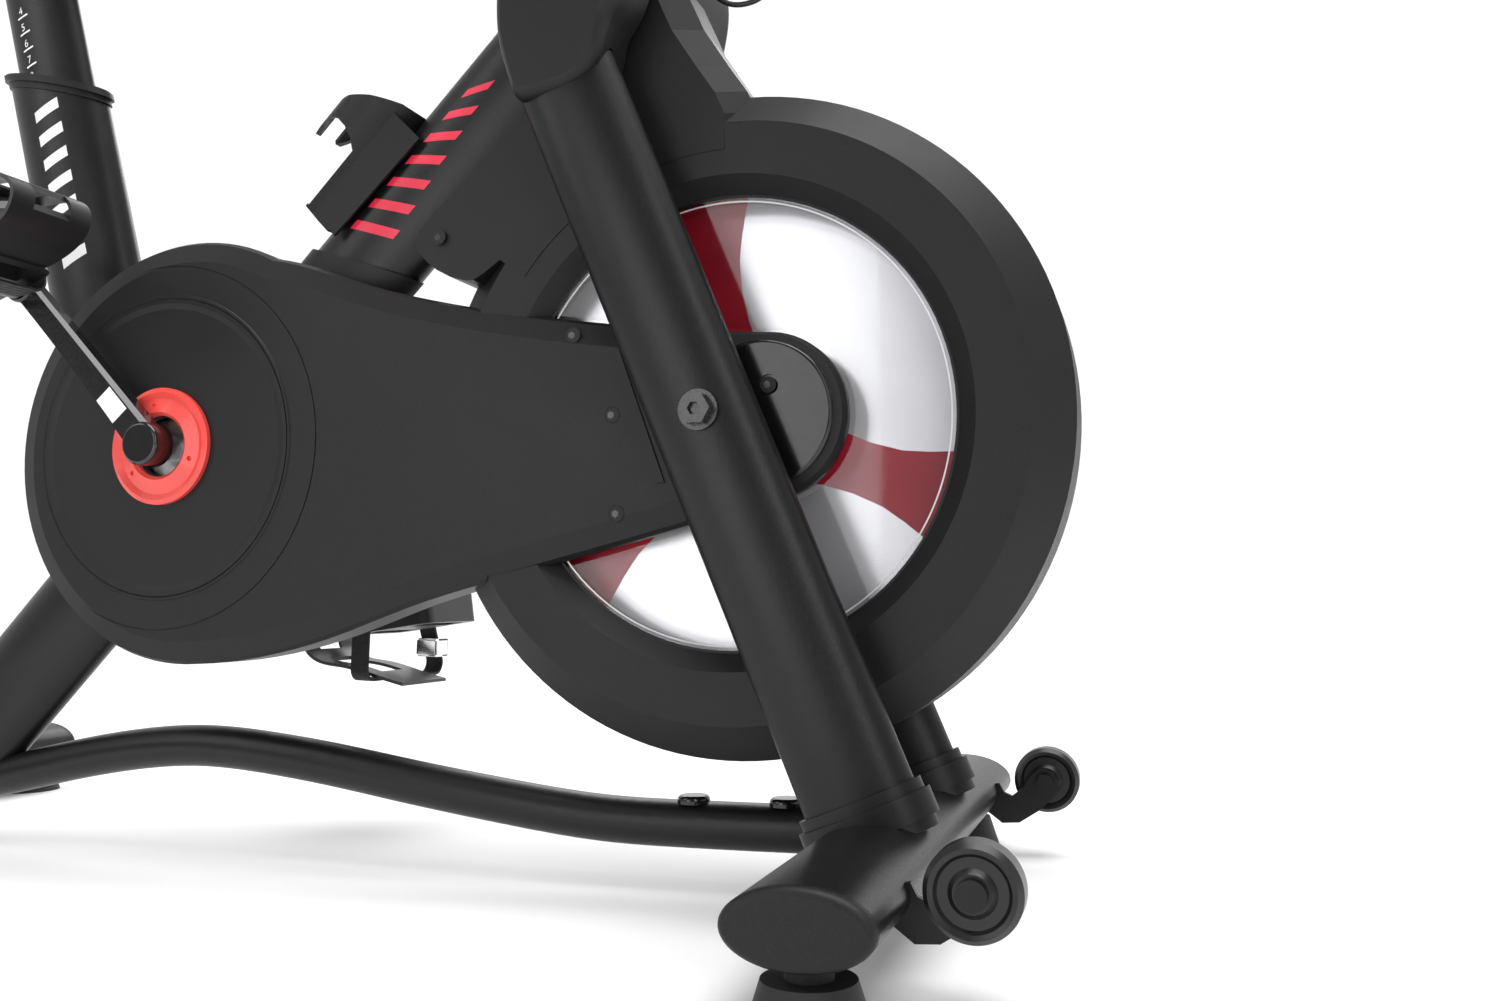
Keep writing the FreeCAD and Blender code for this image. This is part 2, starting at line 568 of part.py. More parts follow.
# ---- flywheel and drive -------------------------------------------------------------------------------------
def flywheel():
    r = AXLE_RADIUS + FIT
    disc = turned([(r, -26.9), (30, -26.9), (30, -12), (FLYWHEEL_RADIUS, -12), (FLYWHEEL_RADIUS, 12), (206, 12),
                   (198, -4), (44, -4), (30, 4), (30, 24), (r, 24)], WHEEL_X, AXLE_Z)
    save("flywheel", disc)
    pulley = turned([(12, -45.5), (FLYWHEEL_PULLEY_RADIUS + 4, -45.5), (FLYWHEEL_PULLEY_RADIUS + 4, -44.3),
                     (FLYWHEEL_PULLEY_RADIUS, -44.3), (FLYWHEEL_PULLEY_RADIUS, -27), (12, -27)], WHEEL_X, AXLE_Z)
    save("flywheel_pulley", pulley)


def axle():
    rod = cyl_y(AXLE_RADIUS, -108, 108, WHEEL_X, AXLE_Z)
    washer = cyl_y(15, -107, -105, WHEEL_X, AXLE_Z).cut(cyl_y(AXLE_RADIUS, -120, 0, WHEEL_X, AXLE_Z))
    nut = hexagon_y(12, -115, 8, WHEEL_X, AXLE_Z).cut(rod)
    nut = nut.cut(hexagon_y(5, -116, 5, WHEEL_X, AXLE_Z))
    save("flywheel_axle", group([rod, washer, nut, mirror_y(washer), mirror_y(nut)]))


def belt_loop(extra):
    """Outline of the belt round both pulleys, on the pulleys' surface plus a distance."""
    r1, r2 = CRANK_PULLEY_RADIUS + extra, FLYWHEEL_PULLEY_RADIUS + extra
    span = WHEEL_X - CRANK_X
    a = math.acos((r1 - r2) / span)
    y = BELT_Y - BELT_WIDTH / 2

    def at(cx, r, angle):
        return V(cx + r * math.cos(angle), y, AXLE_Z + r * math.sin(angle))

    big = Part.Arc(at(CRANK_X, r1, a), at(CRANK_X, r1, math.pi), at(CRANK_X, r1, -a)).toShape()
    small = Part.Arc(at(WHEEL_X, r2, -a), at(WHEEL_X, r2, 0), at(WHEEL_X, r2, a)).toShape()
    low = Part.LineSegment(at(CRANK_X, r1, -a), at(WHEEL_X, r2, -a)).toShape()
    top = Part.LineSegment(at(WHEEL_X, r2, a), at(CRANK_X, r1, a)).toShape()
    return Part.Face(Part.Wire([big, low, small, top]))


def belt():
    loop = belt_loop(0.2 + BELT_THICK).cut(belt_loop(0.2))
    save("drive_belt", loop.extrude(V(0, BELT_WIDTH, 0)))


def magnet_brake():
    """Bridge over the flywheel rim with a magnet plate on each side of it, hinged at the rear."""
    def sector(r0, r1, y0, y1, a0, a1):
        ring_shape = cyl_y(r1, y0, y1, WHEEL_X, AXLE_Z).cut(cyl_y(r0, y0 - 1, y1 + 1, WHEEL_X, AXLE_Z))
        ends = [tilted(a) * 400 for a in (a0, a1)]
        points = [(WHEEL_X, AXLE_Z)] + [(WHEEL_X + end.x, AXLE_Z + end.z) for end in ends]
        return ring_shape.common(plate(points, y0 - 2, y1 + 2))

    side = sector(216, 251, -20, -16, 100, 124)
    bridge = sector(246.5, 251, -20, 20, 100, 124)
    arm = sector(243.5, 251, -20, -14, 110, 137)
    pivot = BRAKE_PIVOT
    eye = cyl_y(6, -24, -14, pivot.x, pivot.z)
    save("magnet_brake", fuse([side, mirror_y(side), bridge, arm, eye]))


BRAKE_PIVOT = V(WHEEL_X, 0, AXLE_Z) + tilted(136) * 247


# ---- cranks and pedals --------------------------------------------------------------------------------------
ARM = tilted(CRANK_ANGLE)
CRANK = V(CRANK_X, 0, AXLE_Z)
RIGHT_EYE = CRANK + ARM * CRANK_LENGTH
LEFT_EYE = CRANK - ARM * CRANK_LENGTH
SPINDLE_RADIUS = 7.5
PEDAL_IN, PEDAL_OUT = 106.0, 200.0


def crank_arm(eye):
    """Right-side crank arm from the crank axis to a pedal eye, flaring outward."""
    across = V((eye - CRANK)).normalize().cross(Y_AXIS).normalize()

    def section(centre, y, width, thick):
        corners = [centre + across * (sx * width / 2) + V(0, y + sy * thick / 2, 0)
                   for sx, sy in ((-1, -0.4), (-0.8, -1), (0.8, -1), (1, -0.4), (1, 1), (-1, 1))]
        return Part.makePolygon(corners + corners[:1])

    def between(t):
        return CRANK + (eye - CRANK) * t

    blade = Part.makeLoft([section(between(0.06), -74, 29, 17), section(between(0.45), -81, 24, 16),
                           section(between(0.98), -95, 22, 14)], True, False)
    boss = cyl_y(19, -84, -64, CRANK.x, CRANK.z)
    boss = boss.makeFillet(3, [e for e in boss.Edges if abs(e.CenterOfMass.y + 84) < 0.01])
    end = cyl_y(15.5, -103, -89.5, eye.x, eye.z)
    end = end.makeFillet(2.5, [e for e in end.Edges if abs(e.CenterOfMass.y + 103) < 0.01])
    arm = fuse([blade, boss, end])
    arm = arm.cut(cyl_y(12, -83, -50, CRANK.x, CRANK.z))
    return arm.cut(cyl_y(SPINDLE_RADIUS, -120, -50, eye.x, eye.z))


def cranks():
    save("crank_arm_right", crank_arm(RIGHT_EYE))
    save("crank_arm_left", mirror_y(crank_arm(LEFT_EYE)))
    axle_bar = cyl_y(12, -83, 83, CRANK.x, CRANK.z)
    spindles = [cyl_y(SPINDLE_RADIUS, -PEDAL_OUT + 3, -90, RIGHT_EYE.x, RIGHT_EYE.z),
                cyl_y(SPINDLE_RADIUS, 90, PEDAL_OUT - 3, LEFT_EYE.x, LEFT_EYE.z)]
    save("crank_axle", group([axle_bar] + spindles))
    pulley = turned([(12, -46), (30, -46), (34, -40), (96, -40), (102, -44.2), (CRANK_PULLEY_RADIUS, -44.2),
                     (CRANK_PULLEY_RADIUS, -27.8), (102, -27.8), (96, -33), (34, -33), (30, -28), (24.4, -28),
                     (24.4, -45.6), (12, -45.6)], CRANK_X, AXLE_Z)
    save("crank_pulley", pulley)


def pedal_pieces():
    """Right pedal, upright, toe toward +X, with its spindle axis on the Y axis: body, cage and strap."""
    y0, y1 = -PEDAL_OUT, -PEDAL_IN
    body = box(-46, 46, y0, y1, -8, 20)
    upright_edges = [e for e in body.Edges if abs(e.tangentAt(0).z) > 0.9]
    body = body.makeFillet(12, upright_edges)
    body = body.cut(box(16, 38, y0 + 14, y1 - 14, -20, 30)).cut(box(-38, -16, y0 + 14, y1 - 14, -20, 30))
    body = body.fuse(cyl_y(13, y0 + 4, y1 + 1, 0, 0))
    body = body.cut(cyl_y(SPINDLE_RADIUS + FIT, y0 + 2.9, 0, 0, 0)).removeSplitter()
    cage = cage_side(CAGE_OUTER).cut(cage_side(CAGE_INNER)).fuse(box(46.02, 49, y0 + 20, y1 - 20, -6, 14))
    middle = 0.5 * (y0 + y1)
    cage = cage.cut(box(30, 88, middle - 18, middle + 18, 24, 100))
    cage = cage.cut(box(98, 120, middle - 18, middle + 18, 0, 40))
    loop = strap_loop(STRAP_THICK).cut(strap_loop(0)).common(box(14.5, 33.5, -300, 0, -50, 120))
    buckle = box(12, 36, y0 - 42, y0 - 20, 34, 52).cut(strap_loop(STRAP_THICK))
    strap = [loop, largest(buckle)]
    for piece in strap:
        piece.rotate(V(0, 0, 0), Y_AXIS, STRAP_LEAN)
    return body, cage, group(strap)


CAGE_OUTER = [(46.02, -6), (72, -4), (95, 6), (103, 22), (95, 36), (60, 50), (20, 66), (-5, 76)]
CAGE_INNER = [(46.02, -3), (71.5, -1), (93, 8.5), (99.8, 22), (93, 33.3), (58.8, 47.2), (18.8, 63.2), (-6.2, 73.2)]
STRAP_THICK = 2.2
STRAP_LEAN = 10.0                     # the strap leans toward the toe, degrees
STRAP_CORNER = 10.0                   # inner corner radius of the strap


def cage_side(points):
    """Block behind one face of the toe cage, which runs from the pedal's front edge over the toe."""
    low = -PEDAL_OUT + 8
    curve = Part.BSplineCurve()
    curve.interpolate([V(x, low, z) for x, z in points])
    behind = [points[-1], (-9, 58), (20, 20), (46.02, 10), points[0]]
    wire = Part.Wire([curve.toShape()] + Part.makePolygon([V(x, low, z) for x, z in behind]).Edges)
    return Part.Face(wire).extrude(V(0, PEDAL_OUT - PEDAL_IN - 16, 0))


def strap_loop(grow):
    """Room inside the strap, or its outer form: under the pedal, up both sides and over the cage."""
    inner, outer = -PEDAL_IN + 0.3 - STRAP_CORNER, -PEDAL_OUT + 4
    corners = [(inner, -4), (outer, -4), (outer - 30, 59), (inner, 59)]
    core = Part.makePolygon([V(-10, y, z) for y, z in corners + corners[:1]])
    return Part.Face(core.makeOffset2D(STRAP_CORNER + grow)).extrude(V(70, 0, 0))


PEDAL_PITCH_RIGHT = 18.0              # nose-up angle of the right pedal
PEDAL_PITCH_LEFT = 188.0              # the left pedal hangs upside down


def pedals():
    for side, pitch, eye in (("right", PEDAL_PITCH_RIGHT, RIGHT_EYE), ("left", PEDAL_PITCH_LEFT, LEFT_EYE)):
        names = ("pedal_body_", "toe_cage_", "pedal_strap_")
        for name, shape in zip(names, pedal_pieces()):
            placed = mirror_y(shape) if side == "left" else shape
            placed.rotate(V(0, 0, 0), Y_AXIS, -pitch)
            placed.translate(eye)
            save(name + side, placed)


# ---- seat ---------------------------------------------------------------------------------------------------
POST_LOW = COLLAR_CENTRE - UP_SEAT * 190
POST_HIGH = COLLAR_CENTRE + UP_SEAT * 175
CARRIAGE_Z = POST_HIGH.z + 36
CARRIAGE_X = POST_HIGH.x
COLLAR_SLOPE = 12.5                   # how steeply the collar's rim falls towards the front
COLLAR_STEPS = [(3.6, -6, 0), (10, 0, 5.5), (6, 5.5, 7)]      # extra width of the collar, and its heights
SEAT_KNOB_AT = COLLAR_CENTRE - UP_SEAT * 95 + BACK_SEAT * (SEAT_TUBE_WIDTH / 2)


def collar_slab(low, high):
    """Slab across the seat tube, parallel to the sloping rim of its collar, between two heights above it."""
    slab = box(-200, 200, -100, 100, low, high)
    slab.rotate(V(0, 0, 0), Y_AXIS, COLLAR_SLOPE)
    slab.translate(COLLAR_CENTRE + UP_SEAT * 3)
    return slab


def seat_knob_hole():
    return bar_axis(SEAT_KNOB_AT - BACK_SEAT * 12, BACK_SEAT, 6.4, 30)


def seat():
    top = COLLAR_CENTRE + UP_SEAT * 80
    grip = oval_bar(COLLAR_CENTRE - UP_SEAT * 70, top, SEAT_TUBE_WIDTH - 2 * WALL, SEAT_TUBE_THICK - 2 * WALL)
    steps = [grip.cut(collar_slab(1, 300))]
    for wide, low, high in COLLAR_STEPS:
        step = oval_bar(COLLAR_CENTRE - UP_SEAT * 60, top, SEAT_TUBE_WIDTH + wide, SEAT_TUBE_THICK + wide * 0.8)
        steps.append(step.common(collar_slab(low, high)))
    skirt = steps[1].cut(oval_bar(SEAT_TUBE_FOOT, top, SEAT_TUBE_WIDTH, SEAT_TUBE_THICK))
    bush = fuse([steps[0], skirt] + steps[2:])
    path = oval_bar(POST_LOW - UP_SEAT * 200, POST_HIGH + UP_SEAT * 200, POST_WIDTH + 0.7, POST_THICK + 0.7)
    save("seat_bushing", largest(bush.cut(path)))
    post = oval_tube(POST_LOW, POST_HIGH, POST_WIDTH, POST_THICK, 2.5)
    channel = box(CARRIAGE_X - 70, CARRIAGE_X + 70, -26, 26, CARRIAGE_Z - 34, CARRIAGE_Z + 15)
    channel = channel.cut(box(CARRIAGE_X - 80, CARRIAGE_X + 80, -21.3, 21.3, CARRIAGE_Z - 15.3, CARRIAGE_Z + 16))
    channel = channel.cut(box(CARRIAGE_X - 80, CARRIAGE_X + 80, -15, 15, CARRIAGE_Z - 14, CARRIAGE_Z + 20))
    channel = channel.cut(cyl_y(5.3, -40, -15, CARRIAGE_X + 25, CARRIAGE_Z))
    channel = channel.cut(oval_bar(POST_LOW, POST_HIGH, POST_WIDTH, POST_THICK))
    save("seat_post", fuse([post, largest(channel)]))
    beam = box(CARRIAGE_X - 125, CARRIAGE_X + 125, -21, 21, CARRIAGE_Z - 15, CARRIAGE_Z + 15)
    beam = beam.makeFillet(4, [e for e in beam.Edges if abs(e.tangentAt(0).x) > 0.9])
    beam = beam.cut(box(CARRIAGE_X - 130, CARRIAGE_X + 130, -17, 17, CARRIAGE_Z - 12, CARRIAGE_Z + 11))
    stem = Part.makeCylinder(14, 34, V(SADDLE_X, 0, CARRIAGE_Z + 14))
    clamp = cyl_y(15, -26, 26, SADDLE_X, CARRIAGE_Z + 46)
    save("seat_carriage", fuse([beam, stem, clamp]))
    save("saddle", saddle_form())
    knob_stem = bar_axis(SEAT_KNOB_AT - BACK_SEAT * 6, BACK_SEAT, 6, 30)
    knob = bar_axis(SEAT_KNOB_AT + BACK_SEAT * 17, BACK_SEAT, 21, 30)
    knob = knob.makeFillet(5, knob.Edges[:1])
    save("seat_knob", fuse([knob_stem, knob]))
    screw = cyl_y(5, -52, -21.4, CARRIAGE_X + 25, CARRIAGE_Z)
    wheel = cyl_y(22, -66, -38, CARRIAGE_X + 25, CARRIAGE_Z)
    wheel = wheel.makeFillet(4, [e for e in wheel.Edges if abs(e.CenterOfMass.y + 66) < 0.01])
    save("saddle_clamp_knob", fuse([screw, wheel]))


SADDLE_X = CARRIAGE_X + 6


def saddle_form():
    """Padded saddle: a wide round tail drawn out to a narrow nose, over a shell."""
    stations = [(-128, 44, 30), (-118, 78, 48), (-85, 97, 60), (-45, 90, 60), (0, 60, 54), (50, 36, 46),
                (100, 26, 38), (128, 20, 30), (136, 11, 16)]
    base = CARRIAGE_Z + 78
    wires = []
    for x, half, deep in stations:
        top = base + (6 if x < -60 else 0) + 8
        turns = [math.radians(t) for t in range(0, 360, 30)]
        points = [V(SADDLE_X + x, half * math.cos(t), top - deep / 2 + deep / 2 * math.sin(t)) for t in turns]
        curve = Part.BSplineCurve()
        curve.interpolate(points, PeriodicFlag=True)
        wires.append(Part.Wire(curve.toShape()))
    body = Part.makeLoft(wires, True, False)
    room = box(SADDLE_X - 17, SADDLE_X + 17, -28, 28, CARRIAGE_Z, CARRIAGE_Z + 62)
    return body.cut(room)


# ---- handlebar and console ----------------------------------------------------------------------------------
CABLE_RADIUS = 2.2
CABLE_ROUTE = [(338, 815), (351.5, 814), (362.8, 806.4), (369, 794.5), (368.5, 779), (363.5, 757), (369.5, 732),
               (385, 717), (401.5, 713.5), (418.5, 718), (433, 735), (438, 762), (440, 801), (439.2, 848),
               (437.2, 898), (434.3, 950), (432, 1000)]
BAR_LINE = [(305, 0), (305, 60), (301, 110), (290, 152), (282, 186), (292, 218), (325, 237), (370, 237),
            (415, 223), (447, 206)]
BAR_RISE = [0, 0, 2, 6, 10, 14, 20, 30, 44, 56]
CONSOLE_AT = V(415, 0, 1160)
CONSOLE_LEAN = 25.0                   # screen leans back from vertical


def bar_points(side):
    return [V(x, side * y, BAR_Z + up) for (x, y), up in zip(BAR_LINE, BAR_RISE)]


def handlebar():
    cap_low, cap_high = BAR_Z - 34, BAR_Z - 22
    post = oval_tube(V(POST_X, 0, 768), V(POST_X, 0, cap_low), BAR_POST_WIDTH, BAR_POST_THICK, 2.5)
    cap = oval_bar(V(POST_X, 0, cap_low), V(POST_X, 0, cap_high), BAR_POST_WIDTH + 6, BAR_POST_THICK + 6)
    save("handlebar_post", fuse([post, cap]))
    both = [p for p in reversed(bar_points(-1))][:-1] + bar_points(1)
    bar = round_bar(both, BAR_RADIUS)
    clamp = cyl_y(20, -34, 34, 305, BAR_Z)
    foot = box(POST_X - 36, POST_X + 36, -20, 20, cap_high, BAR_Z + 6)
    reach = plate([(305, BAR_Z - 12), (425, 1000), (450, 1000), (462, 1015), (460, 1146), (436, 1146), (440, 1024),
                   (428, 1018), (305, BAR_Z + 12)], -15.7, 15.7)
    gland_x, gland_z = CABLE_ROUTE[-1]
    gland = Part.makeCylinder(6, 8, V(gland_x, 0, gland_z))
    grips = [round_bar(both, GRIP_RADIUS, ends).cut(round_bar(both, BAR_RADIUS + 0.05, ends))
             for ends in ((0, 6), (12, 18))]
    hinge_pin = cyl_y(6, -26, 26, HINGE.x, HINGE.z)
    hinge_lug = fuse([cyl_y(11, -15.7, 15.7, HINGE.x, HINGE.z), hinge_pin])
    body = fuse([bar, clamp, foot, reach, gland, hinge_lug])
    save("handlebar", body)
    save("handlebar_grips", group([largest(g) for g in grips]))
    lean = CONSOLE_LEAN
    case = box(-11, 11, -135, 135, -88, 88)
    case = case.makeFillet(9, [e for e in case.Edges if abs(e.tangentAt(0).x) > 0.9])
    lug = box(9, 34, 16.2, 22, -16, 16)
    lug = lug.fuse(Part.makeCylinder(16, 5.8, V(34, 16.2, 0), Y_AXIS))
    lug = lug.cut(Part.makeCylinder(6 + FIT, 20, V(34, 10, 0), Y_AXIS)).removeSplitter()
    shape = fuse([case, lug, mirror_y(lug)])
    shape.rotate(V(0, 0, 0), Y_AXIS, lean)
    shape.translate(CONSOLE_AT)
    save("console", shape)
    pin = cyl_y(5, -40, -20.5, POST_X, BAR_KNOB_Z)
    pull = cyl_y(19, -66, -36, POST_X, BAR_KNOB_Z)
    pull = pull.makeFillet(5, [e for e in pull.Edges if abs(e.CenterOfMass.y + 66) < 0.01])
    save("handlebar_knob", fuse([pin, pull]))
    stem = bar_axis(V(262, 0, 800) + RESIST_DIR * 40, RESIST_DIR, 5, 40)
    dial = bar_axis(V(262, 0, 800) + RESIST_DIR * 73, RESIST_DIR, 25, 30)
    dial = dial.makeFillet(5, dial.Edges[:1])
    save("resistance_knob", fuse([stem, dial]))


HINGE = CONSOLE_AT + V(34 * math.cos(math.radians(CONSOLE_LEAN)), 0, -34 * math.sin(math.radians(CONSOLE_LEAN)))


def cable():
    """Cable along straight runs joined by tangent arcs, each as large as its runs allow."""
    points = [V(x, 0, z) for x, z in CABLE_ROUTE]
    edges, start, radii = [], points[0], []
    for before, corner, after in zip(points, points[1:], points[2:]):
        back, ahead = before - corner, after - corner
        reach = 0.45 * min(back.Length, ahead.Length)
        half_turn = (math.pi - back.getAngle(ahead)) / 2
        radius = reach / math.tan(half_turn)
        radii.append(round(radius, 1))
        back.normalize()
        ahead.normalize()
        inward = (back + ahead).normalize() * (radius / math.cos(half_turn) - radius)
        edges.append(Part.LineSegment(start, corner + back * reach).toShape())
        edges.append(Part.Arc(corner + back * reach, corner + inward, corner + ahead * reach).toShape())
        start = corner + ahead * reach
    edges.append(Part.LineSegment(start, points[-1]).toShape())
    path = Part.Wire(edges)
    ring = Part.Wire(Part.Circle(points[0], (points[1] - points[0]).normalize(), CABLE_RADIUS).toShape())
    tube = path.makePipeShell([ring], True, False)
    print("cable radii", radii, "length", round(path.Length, 1),
          "volume ratio", round(tube.Volume / (math.pi * CABLE_RADIUS ** 2 * path.Length), 4))
    save("console_cable", tube.cut(box(420, 445, -5, 5, CABLE_ROUTE[-1][1] - 0.1, CABLE_ROUTE[-1][1] + 5)))


# ---- bottle holder ------------------------------------------------------------------------------------------
HOLDER_START = V(44.0, 0, 522.0)      # point on the down tube's axis below the holder
HOLDER_TILT = 44.5                    # slope of the down tube
BOTTLE_RISE = 86.0                    # bottle axis above the down tube's axis
HOLDER_RADIUS = 37.5
HOLDER_SIDE = [(10, 28), (126, 24), (137, 36), (137, 47), (134.5, 60), (122, 83), (107, 105), (93, 119),
               (82, 124), (62, 124), (58, 119), (70, 115), (82, 106), (86.5, 96), (86.4, 84), (81.8, 73),
               (74, 65.3), (61.6, 60), (45, 56.8), (29, 54.8), (10, 54.6)]


def bottle_holder():
    """Trough along the down tube with two hooks over the bottle, a clip round the tube and a ledge below."""
    side = plate(HOLDER_SIDE, -60, 60)
    tube = Part.makeCylinder(HOLDER_RADIUS, 160, V(-5, 0, BOTTLE_RISE), V(1, 0, 0))
    tube = tube.cut(Part.makeCylinder(HOLDER_RADIUS - 3, 200, V(-20, 0, BOTTLE_RISE), V(1, 0, 0)))
    trough = tube.common(fuse([side, box(10, 90, -60, 60, 40, 66)])).cut(box(-10, 170, -11, 11, 80, 150))
    clip = box(10, 124, -28.5, 28.5, 22, 64).common(side.fuse(box(10, 90, -60, 60, 40, 66)))
    clip = clip.cut(box(0, 170, -25.6, 25.6, 0, 100))
    ledge = plate([(4, 47), (12, 47), (12, 50), (7, 51), (7, 60), (8, 82), (5, 82), (4, 60)], -14, 14)
    holder = fuse([trough, clip, ledge])
    holder.rotate(V(0, 0, 0), Y_AXIS, -HOLDER_TILT)
    holder.translate(HOLDER_START)
    save("bottle_holder", largest(holder.cut(down_bar(0))))


frame_tubes()
fork()
head_tube()
stabilisers()
feet()
transport()
crown_cover()
shroud()
belt_covers()
crank_trim()
cover_screws()
flywheel()
axle()
belt()
magnet_brake()
cranks()
pedals()
seat()
handlebar()
cable()
bottle_holder()
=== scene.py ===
"""Looks of the indoor spin bike, in metres, in the frame of its CAD model."""

import json
import math

import bmesh
import bpy
from mathutils import Matrix, Vector


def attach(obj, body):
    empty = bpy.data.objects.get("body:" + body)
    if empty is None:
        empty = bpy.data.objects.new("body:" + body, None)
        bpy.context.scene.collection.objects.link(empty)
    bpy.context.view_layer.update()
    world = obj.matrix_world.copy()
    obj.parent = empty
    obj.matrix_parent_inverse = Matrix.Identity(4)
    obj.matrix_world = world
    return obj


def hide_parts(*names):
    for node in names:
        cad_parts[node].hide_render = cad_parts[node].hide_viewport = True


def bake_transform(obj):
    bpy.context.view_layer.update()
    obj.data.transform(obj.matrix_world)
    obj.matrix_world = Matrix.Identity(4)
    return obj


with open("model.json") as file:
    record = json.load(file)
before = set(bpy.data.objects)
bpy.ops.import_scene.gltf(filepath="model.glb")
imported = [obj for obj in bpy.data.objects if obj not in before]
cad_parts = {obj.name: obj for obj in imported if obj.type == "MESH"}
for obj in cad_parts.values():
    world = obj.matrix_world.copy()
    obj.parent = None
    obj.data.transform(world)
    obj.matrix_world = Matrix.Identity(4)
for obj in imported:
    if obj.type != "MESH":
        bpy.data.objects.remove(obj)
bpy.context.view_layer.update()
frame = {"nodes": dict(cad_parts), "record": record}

# ---- places and sizes of the CAD model, in metres and degrees -----------------------------------
WHEEL = Vector((0.400, 0.0, 0.366))
CRANK = Vector((-0.122, 0.0, 0.366))
CRANK_ANGLE = 130.0
CRANK_LENGTH = 0.188
DOWN_FOOT, DOWN_TOP = Vector((-0.122, 0, 0.359)), Vector((0.246, 0, 0.720))
COLLAR = Vector((-0.3135, 0, 0.731))
CONSOLE_AT = Vector((0.415, 0, 1.160))
CONSOLE_LEAN = 25.0
PEDAL_OUT = 0.200
DOWN_TUBE_SIZE = (0.098, 0.050)         # width and thickness of each oval tube
SEAT_TUBE_SIZE = (0.104, 0.050)
POST_SIZE = (0.082, 0.035)
SEAT_TUBE_LENGTH = 0.465


def in_plane(degrees):
    """Unit vector in the XZ plane, so many degrees up from +X."""
    a = math.radians(degrees)
    return Vector((math.cos(a), 0, math.sin(a)))


UP_SEAT = in_plane(105.5)
ARM = in_plane(CRANK_ANGLE)


# ---- camera -------------------------------------------------------------------------------------
CAMERA_PLACE = (0.7163, -0.9537, 0.2321)
CAMERA_YAW, CAMERA_PITCH, CAMERA_ROLL = 18.10, 4.32, 0.23
CAMERA_LENS = 30.5


def camera():
    """The photograph's point of view, solved from circles and upright lines."""
    data = bpy.data.cameras.new("camera")
    data.lens = CAMERA_LENS
    data.sensor_width = 36.0
    data.clip_start = 0.05
    view = bpy.data.objects.new("camera", data)
    turn = (Matrix.Rotation(math.radians(CAMERA_YAW), 4, "Z")
            @ Matrix.Rotation(math.radians(CAMERA_PITCH), 4, "X")
            @ Matrix.Rotation(math.radians(CAMERA_ROLL), 4, "Y")
            @ Matrix.Rotation(math.radians(90), 4, "X"))
    view.matrix_world = Matrix.Translation(CAMERA_PLACE) @ turn
    bpy.context.collection.objects.link(view)
    bpy.context.scene.camera = view
    bpy.context.scene.view_settings.view_transform = "Standard"


# ---- materials ----------------------------------------------------------------------------------
def new_material(name, colour, roughness, metallic=0.0):
    """A principled material; returns the material, its nodes, links and shader."""
    material = bpy.data.materials.new(name)
    material.use_nodes = True
    shader = material.node_tree.nodes["Principled BSDF"]
    shader.inputs["Base Color"].default_value = (*colour, 1)
    shader.inputs["Roughness"].default_value = roughness
    shader.inputs["Metallic"].default_value = metallic
    return material, material.node_tree.nodes, material.node_tree.links, shader


def coordinates(nodes, stretch=(1, 1, 1), shift=(0, 0, 0)):
    """The object's own coordinates, shifted and then stretched."""
    coords = nodes.new("ShaderNodeTexCoord")
    mapping = nodes.new("ShaderNodeMapping")
    mapping.inputs["Scale"].default_value = stretch
    mapping.inputs["Location"].default_value = shift
    mapping.id_data.links.new(coords.outputs["Object"], mapping.inputs["Vector"])
    return mapping.outputs["Vector"]


def noise(nodes, scale, detail=3.0, stretch=(1, 1, 1)):
    """Cloudy noise in the object's own coordinates."""
    texture = nodes.new("ShaderNodeTexNoise")
    texture.inputs["Scale"].default_value = scale
    texture.inputs["Detail"].default_value = detail
    texture.inputs["Roughness"].default_value = 0.55
    texture.id_data.links.new(coordinates(nodes, stretch), texture.inputs["Vector"])
    return texture.outputs["Fac"]


def wave(nodes, scale, kind, direction, shift=(0, 0, 0), distortion=0.0):
    """Bands or rings across the object's own coordinates."""
    texture = nodes.new("ShaderNodeTexWave")
    texture.wave_type = kind
    if kind == "RINGS":
        texture.rings_direction = direction
    else:
        texture.bands_direction = direction
    texture.inputs["Scale"].default_value = scale
    texture.inputs["Distortion"].default_value = distortion
    texture.id_data.links.new(coordinates(nodes, shift=shift), texture.inputs["Vector"])
    return texture.outputs["Fac"]


def ramp(nodes, source, low, high, start=0.3, end=0.7):
    """Colour ramp between two colours."""
    node = nodes.new("ShaderNodeValToRGB")
    node.color_ramp.elements[0].position = start
    node.color_ramp.elements[1].position = end
    node.color_ramp.elements[0].color = (*low, 1)
    node.color_ramp.elements[1].color = (*high, 1)
    node.id_data.links.new(source, node.inputs["Fac"])
    return node.outputs["Color"]


def bump(nodes, shader, source, strength, distance):
    """Raises the surface by a texture."""
    node = nodes.new("ShaderNodeBump")
    node.inputs["Strength"].default_value = strength
    node.inputs["Distance"].default_value = distance
    node.id_data.links.new(source, node.inputs["Height"])
    node.id_data.links.new(node.outputs["Normal"], shader.inputs["Normal"])


GRAIN_STRENGTH = 0.3


